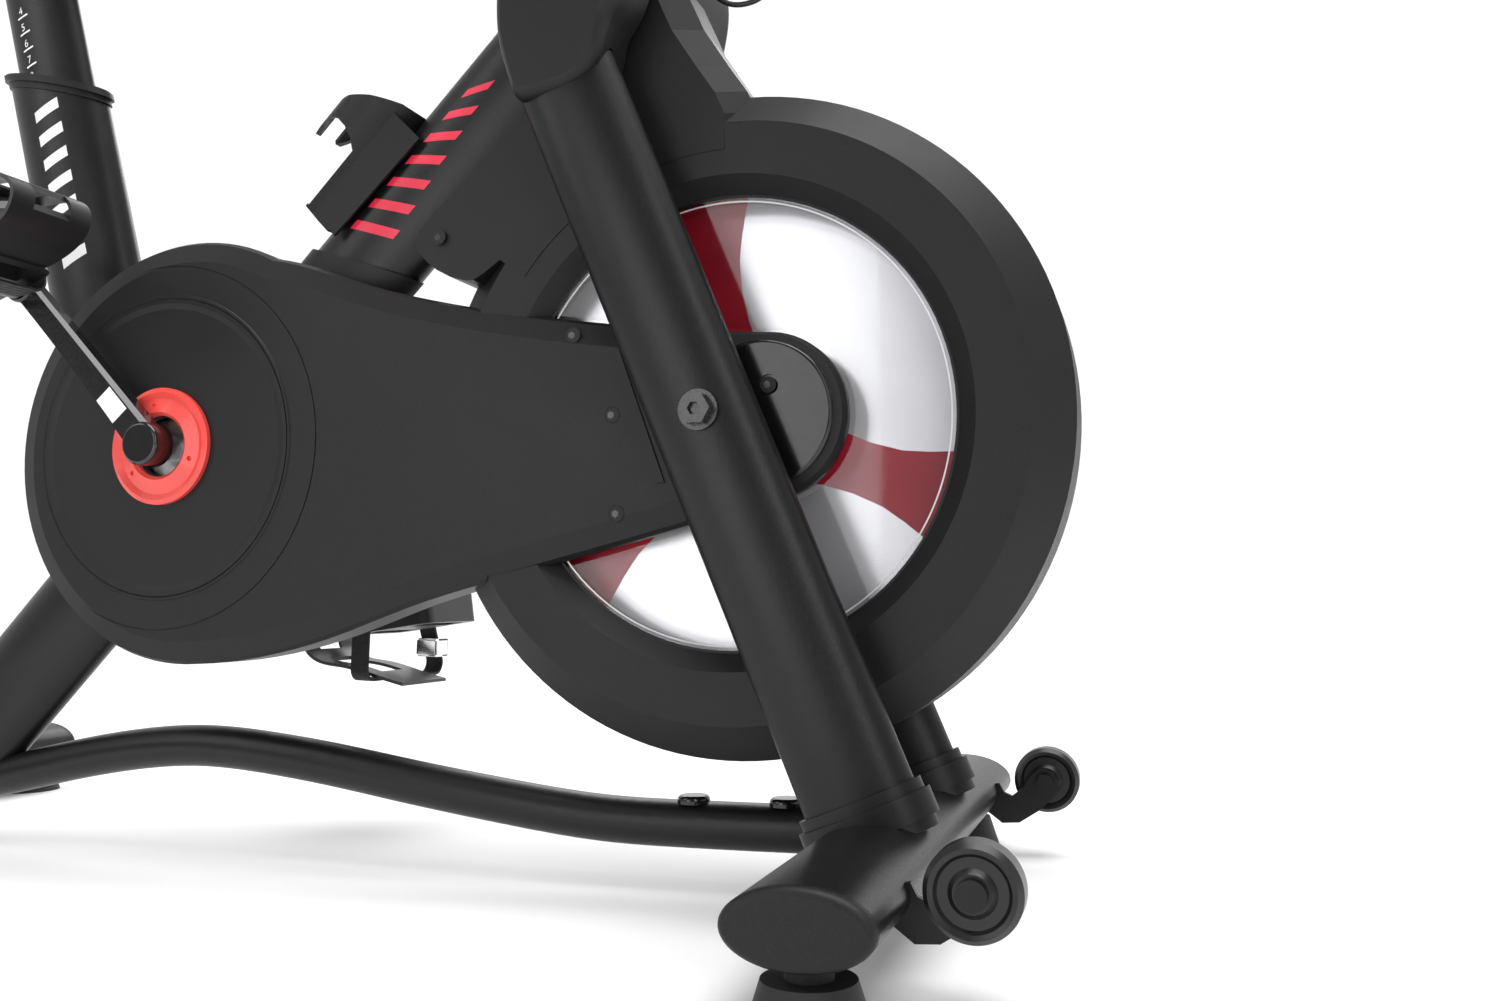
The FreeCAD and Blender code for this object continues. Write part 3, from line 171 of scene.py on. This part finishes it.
def grained(name, colour, rough, grain, depth, metallic=0.0, coat=0.0, specular=0.5):
    """A moulded, coated or machined surface: fine grain, mottled colour and uneven gloss."""
    material, nodes, links, shader = new_material(name, colour, rough[0], metallic)
    fine = noise(nodes, grain)
    darker, lighter = [c * 0.85 for c in colour], [min(1.0, c * 1.18) for c in colour]
    links.new(ramp(nodes, noise(nodes, 14.0), darker, lighter), shader.inputs["Base Color"])
    links.new(ramp(nodes, fine, [rough[0]] * 3, [rough[1]] * 3), shader.inputs["Roughness"])
    bump(nodes, shader, fine, GRAIN_STRENGTH, depth)
    shader.inputs["Coat Weight"].default_value = coat
    shader.inputs["Specular IOR Level"].default_value = specular
    return material


def speckled(name, colour, flecks, rough):
    """Moulded plastic with a fine matt texture and faint light flecks."""
    material, nodes, links, shader = new_material(name, colour, rough[0])
    fine = noise(nodes, 1500.0, 2.0)
    links.new(ramp(nodes, fine, colour, flecks, 0.55, 0.75), shader.inputs["Base Color"])
    uneven = ramp(nodes, noise(nodes, 9.0), [rough[0]] * 3, [rough[1]] * 3)
    links.new(uneven, shader.inputs["Roughness"])
    bump(nodes, shader, fine, 0.22, 0.0002)
    shader.inputs["Specular IOR Level"].default_value = 0.32
    return material


def turned_steel():
    """Polished wheel face with fine concentric turning marks."""
    material, nodes, links, shader = new_material("polished_steel", (0.9, 0.9, 0.9), 0.2, 0.6)
    rings = wave(nodes, 260.0, "RINGS", "Y", shift=-WHEEL)
    links.new(ramp(nodes, rings, [0.20] * 3, [0.27] * 3), shader.inputs["Roughness"])
    mottled = ramp(nodes, noise(nodes, 6.0), [0.86, 0.86, 0.87], [0.95, 0.95, 0.96])
    links.new(mottled, shader.inputs["Base Color"])
    bump(nodes, shader, rings, 0.02, 0.00005)
    return material


def woven():
    """Strap webbing with a fine weave."""
    material, nodes, links, shader = new_material("strap_black", (0.012, 0.012, 0.012), 0.7)
    weave = wave(nodes, 420.0, "BANDS", "Z", distortion=0.4)
    links.new(ramp(nodes, weave, [0.008] * 3, [0.020] * 3), shader.inputs["Base Color"])
    links.new(ramp(nodes, noise(nodes, 300.0), [0.62] * 3, [0.82] * 3), shader.inputs["Roughness"])
    bump(nodes, shader, weave, 0.5, 0.0006)
    return material


def leather():
    """Embossed synthetic leather: small cells with creases between them."""
    material, nodes, links, shader = new_material("saddle_cover", (0.012, 0.012, 0.013), 0.42)
    cells = nodes.new("ShaderNodeTexVoronoi")
    cells.inputs["Scale"].default_value = 420.0
    links.new(coordinates(nodes), cells.inputs["Vector"])
    uneven = ramp(nodes, noise(nodes, 20.0), [0.36] * 3, [0.50] * 3)
    links.new(uneven, shader.inputs["Roughness"])
    mottled = ramp(nodes, noise(nodes, 30.0), [0.010] * 3, [0.016] * 3)
    links.new(mottled, shader.inputs["Base Color"])
    bump(nodes, shader, cells.outputs["Distance"], 0.35, 0.0005)
    return material


def window():
    """Clear moulded plastic: see-through, with a sheen that rises at the edges of the view."""
    material = bpy.data.materials.new("clear_window")
    material.use_nodes = True
    nodes, links = material.node_tree.nodes, material.node_tree.links
    nodes.remove(nodes["Principled BSDF"])
    clear, sheen = nodes.new("ShaderNodeBsdfTransparent"), nodes.new("ShaderNodeBsdfGlossy")
    clear.inputs["Color"].default_value = (0.93, 0.93, 0.94, 1)
    links.new(ramp(nodes, noise(nodes, 25.0), [0.03] * 3, [0.08] * 3), sheen.inputs["Roughness"])
    facing, rise = nodes.new("ShaderNodeLayerWeight"), nodes.new("ShaderNodeMath")
    edge, both = nodes.new("ShaderNodeMapRange"), nodes.new("ShaderNodeMixShader")
    rise.operation = "POWER"
    rise.inputs[1].default_value = 5.0
    edge.inputs["To Min"].default_value = 0.03
    edge.inputs["To Max"].default_value = 0.8
    links.new(facing.outputs["Facing"], rise.inputs[0])
    links.new(rise.outputs["Value"], edge.inputs["Value"])
    links.new(edge.outputs["Result"], both.inputs["Fac"])
    links.new(clear.outputs["BSDF"], both.inputs[1])
    links.new(sheen.outputs["BSDF"], both.inputs[2])
    links.new(both.outputs["Shader"], nodes["Material Output"].inputs["Surface"])
    return material


MATERIALS = {
    "frame_black": grained("frame_black", (0.0055, 0.0055, 0.006), (0.30, 0.42), 700, 0.0002,
                           specular=0.35),
    "cover_plastic": speckled("cover_plastic", (0.0070, 0.0070, 0.0075), (0.018, 0.018, 0.019),
                              (0.44, 0.54)),
    "gloss_black": grained("gloss_black", (0.004, 0.004, 0.0045), (0.14, 0.22), 300, 0.00005,
                           coat=0.2),
    "red_ring": grained("red_ring", (0.86, 0.075, 0.062), (0.28, 0.38), 900, 0.0001, coat=0.2),
    "polished_steel": turned_steel(),
    "chrome": grained("chrome", (0.75, 0.75, 0.76), (0.08, 0.16), 200, 0.00005, metallic=1.0),
    "rubber_black": grained("rubber_black", (0.008, 0.008, 0.008), (0.55, 0.70), 900, 0.0003),
    "tyre_black": grained("tyre_black", (0.008, 0.008, 0.0085), (0.30, 0.40), 900, 0.0002),
    "crank_black": grained("crank_black", (0.007, 0.007, 0.008), (0.14, 0.22), 300, 0.00005,
                           coat=0.4),
    "steel": grained("steel", (0.35, 0.35, 0.36), (0.28, 0.40), 300, 0.0001, metallic=1.0),
    "aluminium": grained("aluminium", (0.6, 0.6, 0.61), (0.28, 0.40), 300, 0.0001, metallic=1.0),
    "cage_grey": grained("cage_grey", (0.014, 0.014, 0.015), (0.34, 0.46), 900, 0.0002),
    "strap_black": woven(),
    "saddle_cover": leather(),
    "belt_rubber": grained("belt_rubber", (0.02, 0.02, 0.02), (0.6, 0.7), 600, 0.0003),
    "cable_black": grained("cable_black", (0.012, 0.012, 0.012), (0.38, 0.5), 600, 0.0001),
    "clear_window": window(),
}
SPOKE_RED = grained("spoke_red", (0.40, 0.012, 0.028), (0.28, 0.36), 500, 0.0001, coat=0.3)
MARK_RED = grained("mark_red", (0.72, 0.022, 0.060), (0.35, 0.45), 900, 0.00005)
MARK_WHITE = grained("mark_white", (0.80, 0.80, 0.80), (0.4, 0.5), 900, 0.00005)
STICKER = grained("sticker", (0.86, 0.86, 0.85), (0.45, 0.6), 700, 0.00005)
SCREEN = grained("screen", (0.004, 0.005, 0.006), (0.04, 0.07), 200, 0.00002, coat=0.6)
# Painted highlight: light grey for the glint along the edge of each clear window.
EDGE_HIGHLIGHT = grained("window_edge_highlight", (0.62, 0.62, 0.63), (0.12, 0.2), 300, 0.00005)
# Painted shade: near-black for the shade inside each cover screw's recess.
RECESS_SHADE = grained("shade_in_recess", (0.003, 0.003, 0.003), (0.6, 0.7), 900, 0.0001)
BOLT = grained("bolt", (0.06, 0.06, 0.062), (0.22, 0.34), 400, 0.0001, metallic=0.7)

SLOT_OF = {part["node"]: part["material_slot"] for part in frame["record"]["subparts"]}
for node, piece in frame["nodes"].items():
    piece.data.materials.clear()
    piece.data.materials.append(BOLT if node == "flywheel_axle" else MATERIALS[SLOT_OF[node]])


# ---- making pieces ------------------------------------------------------------------------------
def add_piece(name, mesh, material, body):
    """Links a finished mesh and lets it ride on a body."""
    mesh.materials.clear()
    mesh.materials.append(material)
    piece = bpy.data.objects.new(name, mesh)
    bpy.context.collection.objects.link(piece)
    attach(piece, body)
    return piece


def from_bmesh(name, shape):
    """Mesh of a finished bmesh, which is used up."""
    mesh = bpy.data.meshes.new(name)
    shape.to_mesh(mesh)
    shape.free()
    return mesh


def evaluated_mesh(shown):
    """Mesh of a curve or text object as it is drawn."""
    bpy.context.view_layer.update()
    drawn = shown.evaluated_get(bpy.context.evaluated_depsgraph_get())
    return bpy.data.meshes.new_from_object(drawn)


def slab(corners, depth):
    """Thin closed slab: a flat outline of points and the same outline moved by a depth vector."""
    shape = bmesh.new()
    face = shape.faces.new([shape.verts.new(c) for c in corners])
    moved = bmesh.ops.extrude_face_region(shape, geom=[face])["geom"]
    ends = [v for v in moved if isinstance(v, bmesh.types.BMVert)]
    bmesh.ops.translate(shape, verts=ends, vec=depth)
    bmesh.ops.recalc_face_normals(shape, faces=shape.faces)
    return shape


WRAP_STEP = 0.003                       # width of the strips that bend round a tube
MARK_LIFT = 0.00015                     # how far a mark stands off a tube


class OvalTube:
    """The right face of an oval frame tube, as places along and across it."""

    def __init__(self, foot, along, width, thick):
        self.foot, self.along, self.width, self.thick = foot, along, width, thick
        self.across = Vector((0, 1, 0)).cross(along).normalized()
        if self.across.x < 0:
            self.across = -self.across

    def place(self, s, v, lift):
        """Point so far along and across, lifted off the surface."""
        side = -self.thick / 2 * math.sqrt(max(0.0, 1 - (2 * v / self.width) ** 2)) - lift
        return self.foot + self.along * s + self.across * v + Vector((0, side, 0))

    def wrap(self, flat):
        """Bends a flat shape, drawn as (across, along, 0), round the tube."""
        edge = -self.width / 2
        while edge < self.width / 2:
            bmesh.ops.bisect_plane(flat, geom=flat.verts[:] + flat.edges[:] + flat.faces[:],
                                   plane_co=(edge, 0, 0), plane_no=(1, 0, 0))
            edge += WRAP_STEP
        for vert in flat.verts:
            vert.co = self.place(vert.co.y, vert.co.x, MARK_LIFT)
        return flat


def flat_outlines(outlines):
    """Flat shapes from lists of (along, across) points."""
    flat = bmesh.new()
    for outline in outlines:
        flat.faces.new([flat.verts.new((v, s, 0)) for s, v in outline])
    return flat


def flat_digit(text, size, v, s):
    """A digit as a flat shape with its lower left corner at (across, along)."""
    curve = bpy.data.curves.new("digit", "FONT")
    curve.body = text
    curve.size = size
    shown = bpy.data.objects.new("digit", curve)
    bpy.context.collection.objects.link(shown)
    mesh = evaluated_mesh(shown)
    bpy.data.objects.remove(shown)
    flat = bmesh.new()
    flat.from_mesh(mesh)
    bmesh.ops.translate(flat, verts=flat.verts, vec=(v, s, 0))
    return flat


# ---- flywheel face ------------------------------------------------------------------------------
SPOKE_ANGLES = (99.5, 219.5, 339.5)
SPOKE_EDGE = [(0.036, 0.034), (0.060, 0.026), (0.080, 0.022), (0.105, 0.0205), (0.130, 0.0225),
              (0.150, 0.028), (0.170, 0.035), (0.185, 0.0415)]  # distance from axis, half width
SPOKE_RIM = 0.197
SPOKE_RIM_TURNS = (0.235, 0.118, 0, -0.118, -0.235)     # radians from the spoke's middle
SPOKE_FACES = (("right", -0.0122, 0.0002), ("left", -0.0038, -0.0002))  # outer y, depth inwards


def spokes():
    """Painted spokes: thin slabs on both faces of the wheel."""
    for side, y, depth in SPOKE_FACES:
        for i, angle in enumerate(SPOKE_ANGLES):
            out, over = in_plane(angle), in_plane(angle + 90)
            edge = [WHEEL + out * r + over * w for r, w in SPOKE_EDGE]
            rim = [WHEEL + (out * math.cos(t) + over * math.sin(t)) * SPOKE_RIM
                   for t in SPOKE_RIM_TURNS]
            back = [WHEEL + out * r - over * w for r, w in reversed(SPOKE_EDGE)]
            corners = [p + Vector((0, y, 0)) for p in edge + rim + back]
            mesh = from_bmesh("spoke", slab(corners, Vector((0, depth, 0))))
            add_piece("spoke_%s_%d" % (side, i + 1), mesh, SPOKE_RED, "flywheel")


# ---- marks on the tubes -------------------------------------------------------------------------
MARK_COUNT = 7
SLASH_START, SLASH_PITCH = 0.268, 0.025
BAR_START, BAR_PITCH = 0.276, 0.0255


def tube_marks():
    """Plain slanted marks in place of the lettering on the down tube and the seat tube."""
    down = OvalTube(DOWN_FOOT, (DOWN_TOP - DOWN_FOOT).normalized(), *DOWN_TUBE_SIZE)
    slashes = []
    for i in range(MARK_COUNT):
        s, half, middle = SLASH_START + SLASH_PITCH * i, 0.021 - 0.0021 * i, 0.004 + 0.0016 * i
        low, high = -half - middle, half - middle
        slashes.append([(s - 0.012, low), (s - 0.002, low), (s + 0.020, high), (s + 0.010, high)])
    add_piece("down_tube_slashes", from_bmesh("slashes", down.wrap(flat_outlines(slashes))),
              MARK_RED, "frame")
    seat = OvalTube(COLLAR - UP_SEAT * SEAT_TUBE_LENGTH, UP_SEAT, *SEAT_TUBE_SIZE)
    bars = []
    for i in range(MARK_COUNT):
        s = BAR_START + BAR_PITCH * i
        bars.append([(s, -0.012), (s + 0.011, -0.012), (s + 0.017, 0.017), (s + 0.006, 0.017)])
    add_piece("seat_tube_bars", from_bmesh("bars", seat.wrap(flat_outlines(bars))), MARK_WHITE,
              "frame")


SCALE_MARKS = [("4", -0.345, 0.808), ("5", -0.341, 0.791), ("6", -0.336, 0.774),
               ("7", -0.331, 0.757), ("8", -0.327, 0.740)]      # digit, x, z
LINE_WIDTH = 0.0018
DIGIT_SIZE = 0.011


def post_scale():
    """Height scale on the right face of the seat post."""
    post = OvalTube(COLLAR, UP_SEAT, *POST_SIZE)
    for digit, x, z in SCALE_MARKS:
        offset = Vector((x, 0, z)) - COLLAR
        s, v = offset.dot(UP_SEAT), offset.dot(post.across) - 0.003
        line = flat_outlines([[(s, v - 0.006), (s + LINE_WIDTH, v - 0.006),
                               (s + LINE_WIDTH, v + 0.008), (s, v + 0.008)]])
        add_piece("post_line_" + digit, from_bmesh("line", post.wrap(line)), MARK_WHITE,
                  "seat_post")
        number = flat_digit(digit, DIGIT_SIZE, v - 0.003, s + 0.004)
        add_piece("post_digit_" + digit, from_bmesh("number", post.wrap(number)), MARK_WHITE,
                  "seat_post")


ARM_FACE_START, ARM_FACE_LENGTH = 0.0113, 0.0733         # the sloping part of the arm's outer face
ARM_FACE_Y, ARM_FACE_RISE = -0.0825, 0.0065
STICKER_CORNERS = ((0.032, -0.0095), (0.058, -0.009), (0.058, 0.009), (0.032, 0.0095))


def crank_sticker():
    """Blank white label on the outer face of the right crank arm."""
    over = Vector((0, 1, 0)).cross(ARM)
    corners = []
    for t, w in STICKER_CORNERS:
        y = ARM_FACE_Y - ARM_FACE_RISE * (t - ARM_FACE_START) / ARM_FACE_LENGTH
        corners.append(CRANK + ARM * t + over * w + Vector((0, y - 0.0001, 0)))
    add_piece("crank_sticker", from_bmesh("sticker", slab(corners, Vector((0, -0.0002, 0)))),
              STICKER, "crank")


# ---- screws -------------------------------------------------------------------------------------
SCREW_FACES = [(0.277, 0.438, -0.0571), (0.311, 0.373, -0.0571), (0.315, 0.296, -0.0571),
               (0.439, 0.389, -0.0611), (0.153, 0.529, -0.0544)]        # x, z, y of each face
RECESS_RADIUS, DRIVE_RADIUS = 0.0062, 0.0030
SCREW_SKIN = 0.0001                     # thickness of the discs


def disc_y(radius, sides, x, y, z, depth):
    """Disc facing the right side, standing out from a face by its depth."""
    shape = bmesh.new()
    turn = Matrix.Translation((x, y - depth / 2, z)) @ Matrix.Rotation(math.radians(90), 4, "X")
    bmesh.ops.create_cone(shape, cap_ends=True, segments=sides, radius1=radius, radius2=radius,
                          depth=depth, matrix=turn)
    return shape


def screw_recess_shades():
    """Painted shade: dark disc in each cover screw's recess, the drive a small disc on it."""
    for i, (x, z, y) in enumerate(SCREW_FACES):
        recess_shade = disc_y(RECESS_RADIUS, 32, x, y, z, SCREW_SKIN)
        add_piece("screw_recess_%d" % (i + 1), from_bmesh("recess_shade", recess_shade), RECESS_SHADE,
                  "frame")
        drive = disc_y(DRIVE_RADIUS, 6, x - 0.0012, y - SCREW_SKIN, z, SCREW_SKIN)
        add_piece("screw_drive_%d" % (i + 1), from_bmesh("drive", drive), BOLT, "frame")


# ---- clear windows: painted highlight along the edge --------------------------------------------
WINDOW_FACE = 0.0382
WINDOW_EDGE_RADII = (0.1712, 0.1724)
WINDOW_STEPS = 180


def draw_window_highlights():
    """Painted highlight: light grey ring round each clear window, for the glint on its edge."""
    for side, y in (("right", -WINDOW_FACE), ("left", WINDOW_FACE)):
        shape = bmesh.new()
        rings = []
        for radius in WINDOW_EDGE_RADII:
            circle = [WHEEL + in_plane(360 * k / WINDOW_STEPS) * radius + Vector((0, y, 0))
                      for k in range(WINDOW_STEPS)]
            rings.append([shape.verts.new(point) for point in circle])
        for k in range(WINDOW_STEPS):
            shape.faces.new([rings[0][k - 1], rings[0][k], rings[1][k], rings[1][k - 1]])
        add_piece("window_edge_highlight_" + side, from_bmesh("edge", shape), EDGE_HIGHLIGHT, "frame")


# ---- pedals: buckles ----------------------------------------------------------------------------
RIGHT_PEDAL_TURN, LEFT_PEDAL_TURN = -18, -188
BUCKLE_SLOPE = 10
BUCKLE_LOW = Vector((0.0115, -PEDAL_OUT - 0.0426, 0.0335))
BUCKLE_HIGH = Vector((0.0365, -PEDAL_OUT - 0.0192, 0.0525))


def pedal_matrix(side):
    """Places a shape drawn for the upright right pedal."""
    if side == "right":
        turn = Matrix.Rotation(math.radians(RIGHT_PEDAL_TURN), 4, "Y")
        return Matrix.Translation(CRANK + ARM * CRANK_LENGTH) @ turn
    turn = Matrix.Rotation(math.radians(LEFT_PEDAL_TURN), 4, "Y")
    mirror = Matrix.Scale(-1, 4, (0, 1, 0))
    return Matrix.Translation(CRANK - ARM * CRANK_LENGTH) @ turn @ mirror


def buckles():
    """Silver shell over the plain buckle block of each strap."""
    low, high = BUCKLE_LOW, BUCKLE_HIGH
    for side in ("right", "left"):
        shape = bmesh.new()
        bmesh.ops.create_cube(shape, size=1, matrix=Matrix.Translation((low + high) / 2)
                              @ Matrix.Diagonal((*(high - low), 1)))
        bmesh.ops.bevel(shape, geom=shape.edges[:], offset=0.002, segments=3, affect="EDGES")
        bmesh.ops.transform(shape, verts=shape.verts,
                            matrix=pedal_matrix(side)
                            @ Matrix.Rotation(math.radians(BUCKLE_SLOPE), 4, "Y"))
        bmesh.ops.recalc_face_normals(shape, faces=shape.faces)
        add_piece("strap_buckle_" + side, from_bmesh("buckle", shape), MATERIALS["chrome"],
                  "pedal_" + side)


# ---- console ------------------------------------------------------------------------------------
SCREEN_FACE = -0.0111                   # x of the glass in the console's own frame
SCREEN_HALF_WIDTH, SCREEN_HALF_HEIGHT = 0.124, 0.074


def console_screen():
    """Blank dark glass on the face of the console."""
    turn = Matrix.Translation(CONSOLE_AT) @ Matrix.Rotation(math.radians(CONSOLE_LEAN), 4, "Y")
    corners = [turn @ Vector((SCREEN_FACE, SCREEN_HALF_WIDTH * y, SCREEN_HALF_HEIGHT * z))
               for y, z in ((-1, -1), (1, -1), (1, 1), (-1, 1))]
    depth = turn.to_3x3() @ Vector((-0.0004, 0, 0))
    add_piece("console_screen", from_bmesh("screen", slab(corners, depth)), SCREEN,
              "console")


# ---- cable --------------------------------------------------------------------------------------
CABLE_ROUTE = [(0.338, 0.815), (0.3515, 0.814), (0.3628, 0.8064), (0.369, 0.7945),
               (0.3685, 0.779), (0.3635, 0.757), (0.3695, 0.732), (0.385, 0.717),
               (0.4015, 0.7135), (0.4185, 0.718), (0.433, 0.735), (0.438, 0.762),
               (0.440, 0.801), (0.4392, 0.848), (0.4372, 0.898), (0.4343, 0.950),
               (0.432, 1.000)]         # x and z; the cable lies in the plane y = 0
CABLE_RADIUS = 0.0022


def cable():
    """Loop of cable that bends between the frame and the handlebar."""
    curve = bpy.data.curves.new("cable", "CURVE")
    curve.dimensions = "3D"
    curve.resolution_u = 16
    spline = curve.splines.new("NURBS")
    spline.points.add(len(CABLE_ROUTE) - 1)
    for point, (x, z) in zip(spline.points, CABLE_ROUTE):
        point.co = (x, 0, z, 1)
    spline.order_u = 3
    spline.use_endpoint_u = True
    line = bpy.data.objects.new("cable_line", curve)
    bpy.context.collection.objects.link(line)
    path = [tuple(v.co) for v in evaluated_mesh(line).vertices]
    curve.bevel_depth = CABLE_RADIUS
    curve.bevel_resolution = 4
    curve.use_fill_caps = True
    tube = evaluated_mesh(line)
    bpy.data.objects.remove(line)
    tube.materials.clear()
    tube.materials.append(MATERIALS["cable_black"])
    piece = bpy.data.objects.new("cable", tube)
    bpy.context.collection.objects.link(piece)
    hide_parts("console_cable")
    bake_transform(piece)


# ---- saddle -------------------------------------------------------------------------------------
SADDLE_VOXEL = 0.005
SADDLE_INSET = 0.003                    # how far the padding is drawn in before it swells
SADDLE_CAP = 0.006                      # how far a point of the padding may swell
SADDLE_PRESSURE = 4.0
CLOTH_FRAMES = 20


def saddle():
    """Padded saddle: the CAD form, drawn in a little, remeshed and inflated as cloth."""
    mesh = frame["nodes"]["saddle"].data.copy()
    piece = bpy.data.objects.new("saddle_pad", mesh)
    bpy.context.collection.objects.link(piece)
    piece.matrix_world = frame["nodes"]["saddle"].matrix_world.copy()
    bpy.context.view_layer.objects.active = piece
    remesh = piece.modifiers.new("remesh", "REMESH")
    remesh.mode = "VOXEL"
    remesh.voxel_size = SADDLE_VOXEL
    bpy.ops.object.modifier_apply(modifier="remesh")
    for polygon in piece.data.polygons:
        polygon.use_smooth = True
    start = [v.co.copy() for v in piece.data.vertices]
    normals = [v.normal.copy() for v in piece.data.vertices]
    inset = [place - normal * SADDLE_INSET for place, normal in zip(start, normals)]
    for vert, place in zip(piece.data.vertices, inset):
        vert.co = place
    cloth = piece.modifiers.new("cloth", "CLOTH")
    cloth.settings.use_pressure = True
    cloth.settings.uniform_pressure_force = SADDLE_PRESSURE
    cloth.settings.effector_weights.gravity = 0.0
    cloth.settings.quality = 5
    for number in range(1, CLOTH_FRAMES + 1):
        bpy.context.scene.frame_set(number)
    shape = piece.evaluated_get(bpy.context.evaluated_depsgraph_get()).data
    swollen = [v.co.copy() for v in shape.vertices]
    piece.modifiers.remove(cloth)
    bpy.context.scene.frame_set(1)
    for vert, place, target in zip(piece.data.vertices, inset, swollen):
        move = target - place
        vert.co = place + move.normalized() * min(move.length, SADDLE_CAP)
    smooth = piece.modifiers.new("smooth", "SUBSURF")
    smooth.levels = smooth.render_levels = 1
    piece.data.materials.clear()
    piece.data.materials.append(MATERIALS["saddle_cover"])
    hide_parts("saddle")
    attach(piece, "saddle")


# ---- studio -------------------------------------------------------------------------------------
WORLD_SHADES = (("Y", -0.6, 0.25, 0.20, 1.06), ("Z", 0.5, 0.9, 1.0, 0.35))   # axis, from, to
SUN_POWER, SUN_SPREAD = 2.8, 50
SUN_DIRECTION = Vector((-0.15, 0.12, -1.0))
SOFTBOXES = (("softbox_wheel", (-0.45, -2.15, 0.75), (1.0, 1.3), 10),
             ("softbox_right", (1.9, -2.3, 1.5), (0.5, 2.2), 16),
             ("softbox_left", (-1.9, -1.7, 1.9), (0.6, 2.0), 12),
             ("softbox_back", (-0.6, 2.4, 2.2), (2.2, 1.2), 30))        # name, place, size, watts
SOFTBOX_AIM = Vector((0.1, 0, 0.5))


def studio_floor():
    """Plain pale floor."""
    bpy.ops.mesh.primitive_plane_add(size=60, location=(0, 0, 0))
    floor = bpy.context.object
    floor.name = "floor"
    material, nodes, links, shader = new_material("studio_floor", (0.9, 0.9, 0.9), 0.6)
    links.new(ramp(nodes, noise(nodes, 3.0), [0.885] * 3, [0.905] * 3), shader.inputs["Base Color"])
    bump(nodes, shader, noise(nodes, 120.0), 0.1, 0.0002)
    shader.inputs["Specular IOR Level"].default_value = 0.2
    floor.data.materials.append(material)


def studio_world():
    """Pale surroundings that are brightest beyond the bike and dim behind the camera."""
    world = bpy.data.worlds.new("studio")
    world.use_nodes = True
    nodes, links = world.node_tree.nodes, world.node_tree.links
    coords, gradient = nodes.new("ShaderNodeTexCoord"), nodes.new("ShaderNodeSeparateXYZ")
    links.new(coords.outputs["Generated"], gradient.inputs["Vector"])
    bright = nodes.new("ShaderNodeMath")
    bright.operation = "MULTIPLY"
    for i, (axis, start, end, low, high) in enumerate(WORLD_SHADES):
        shade = nodes.new("ShaderNodeMapRange")
        shade.inputs["From Min"].default_value = start
        shade.inputs["From Max"].default_value = end
        shade.inputs["To Min"].default_value = low
        shade.inputs["To Max"].default_value = high
        links.new(gradient.outputs[axis], shade.inputs["Value"])
        links.new(shade.outputs["Result"], bright.inputs[i])
    links.new(bright.outputs["Value"], nodes["Background"].inputs["Strength"])
    nodes["Background"].inputs["Color"].default_value = (1, 1, 1, 1)
    bpy.context.scene.world = world


def studio_lights():
    """A soft sun from above and four softboxes."""
    sun = bpy.data.lights.new("sun", "SUN")
    sun.energy = SUN_POWER
    sun.angle = math.radians(SUN_SPREAD)
    lamp = bpy.data.objects.new("sun", sun)
    lamp.rotation_euler = SUN_DIRECTION.to_track_quat("-Z", "Y").to_euler()
    bpy.context.collection.objects.link(lamp)
    for name, place, size, power in SOFTBOXES:
        light = bpy.data.lights.new(name, "AREA")
        light.shape = "RECTANGLE"
        light.size, light.size_y = size
        light.energy = power
        lamp = bpy.data.objects.new(name, light)
        lamp.location = place
        aim = SOFTBOX_AIM - Vector(place)
        lamp.rotation_euler = aim.to_track_quat("-Z", "Y").to_euler()
        bpy.context.collection.objects.link(lamp)


camera()
cable()
spokes()
tube_marks()
post_scale()
crank_sticker()
screw_recess_shades()
draw_window_highlights()
buckles()
console_screen()
saddle()
studio_floor()
studio_world()
studio_lights()
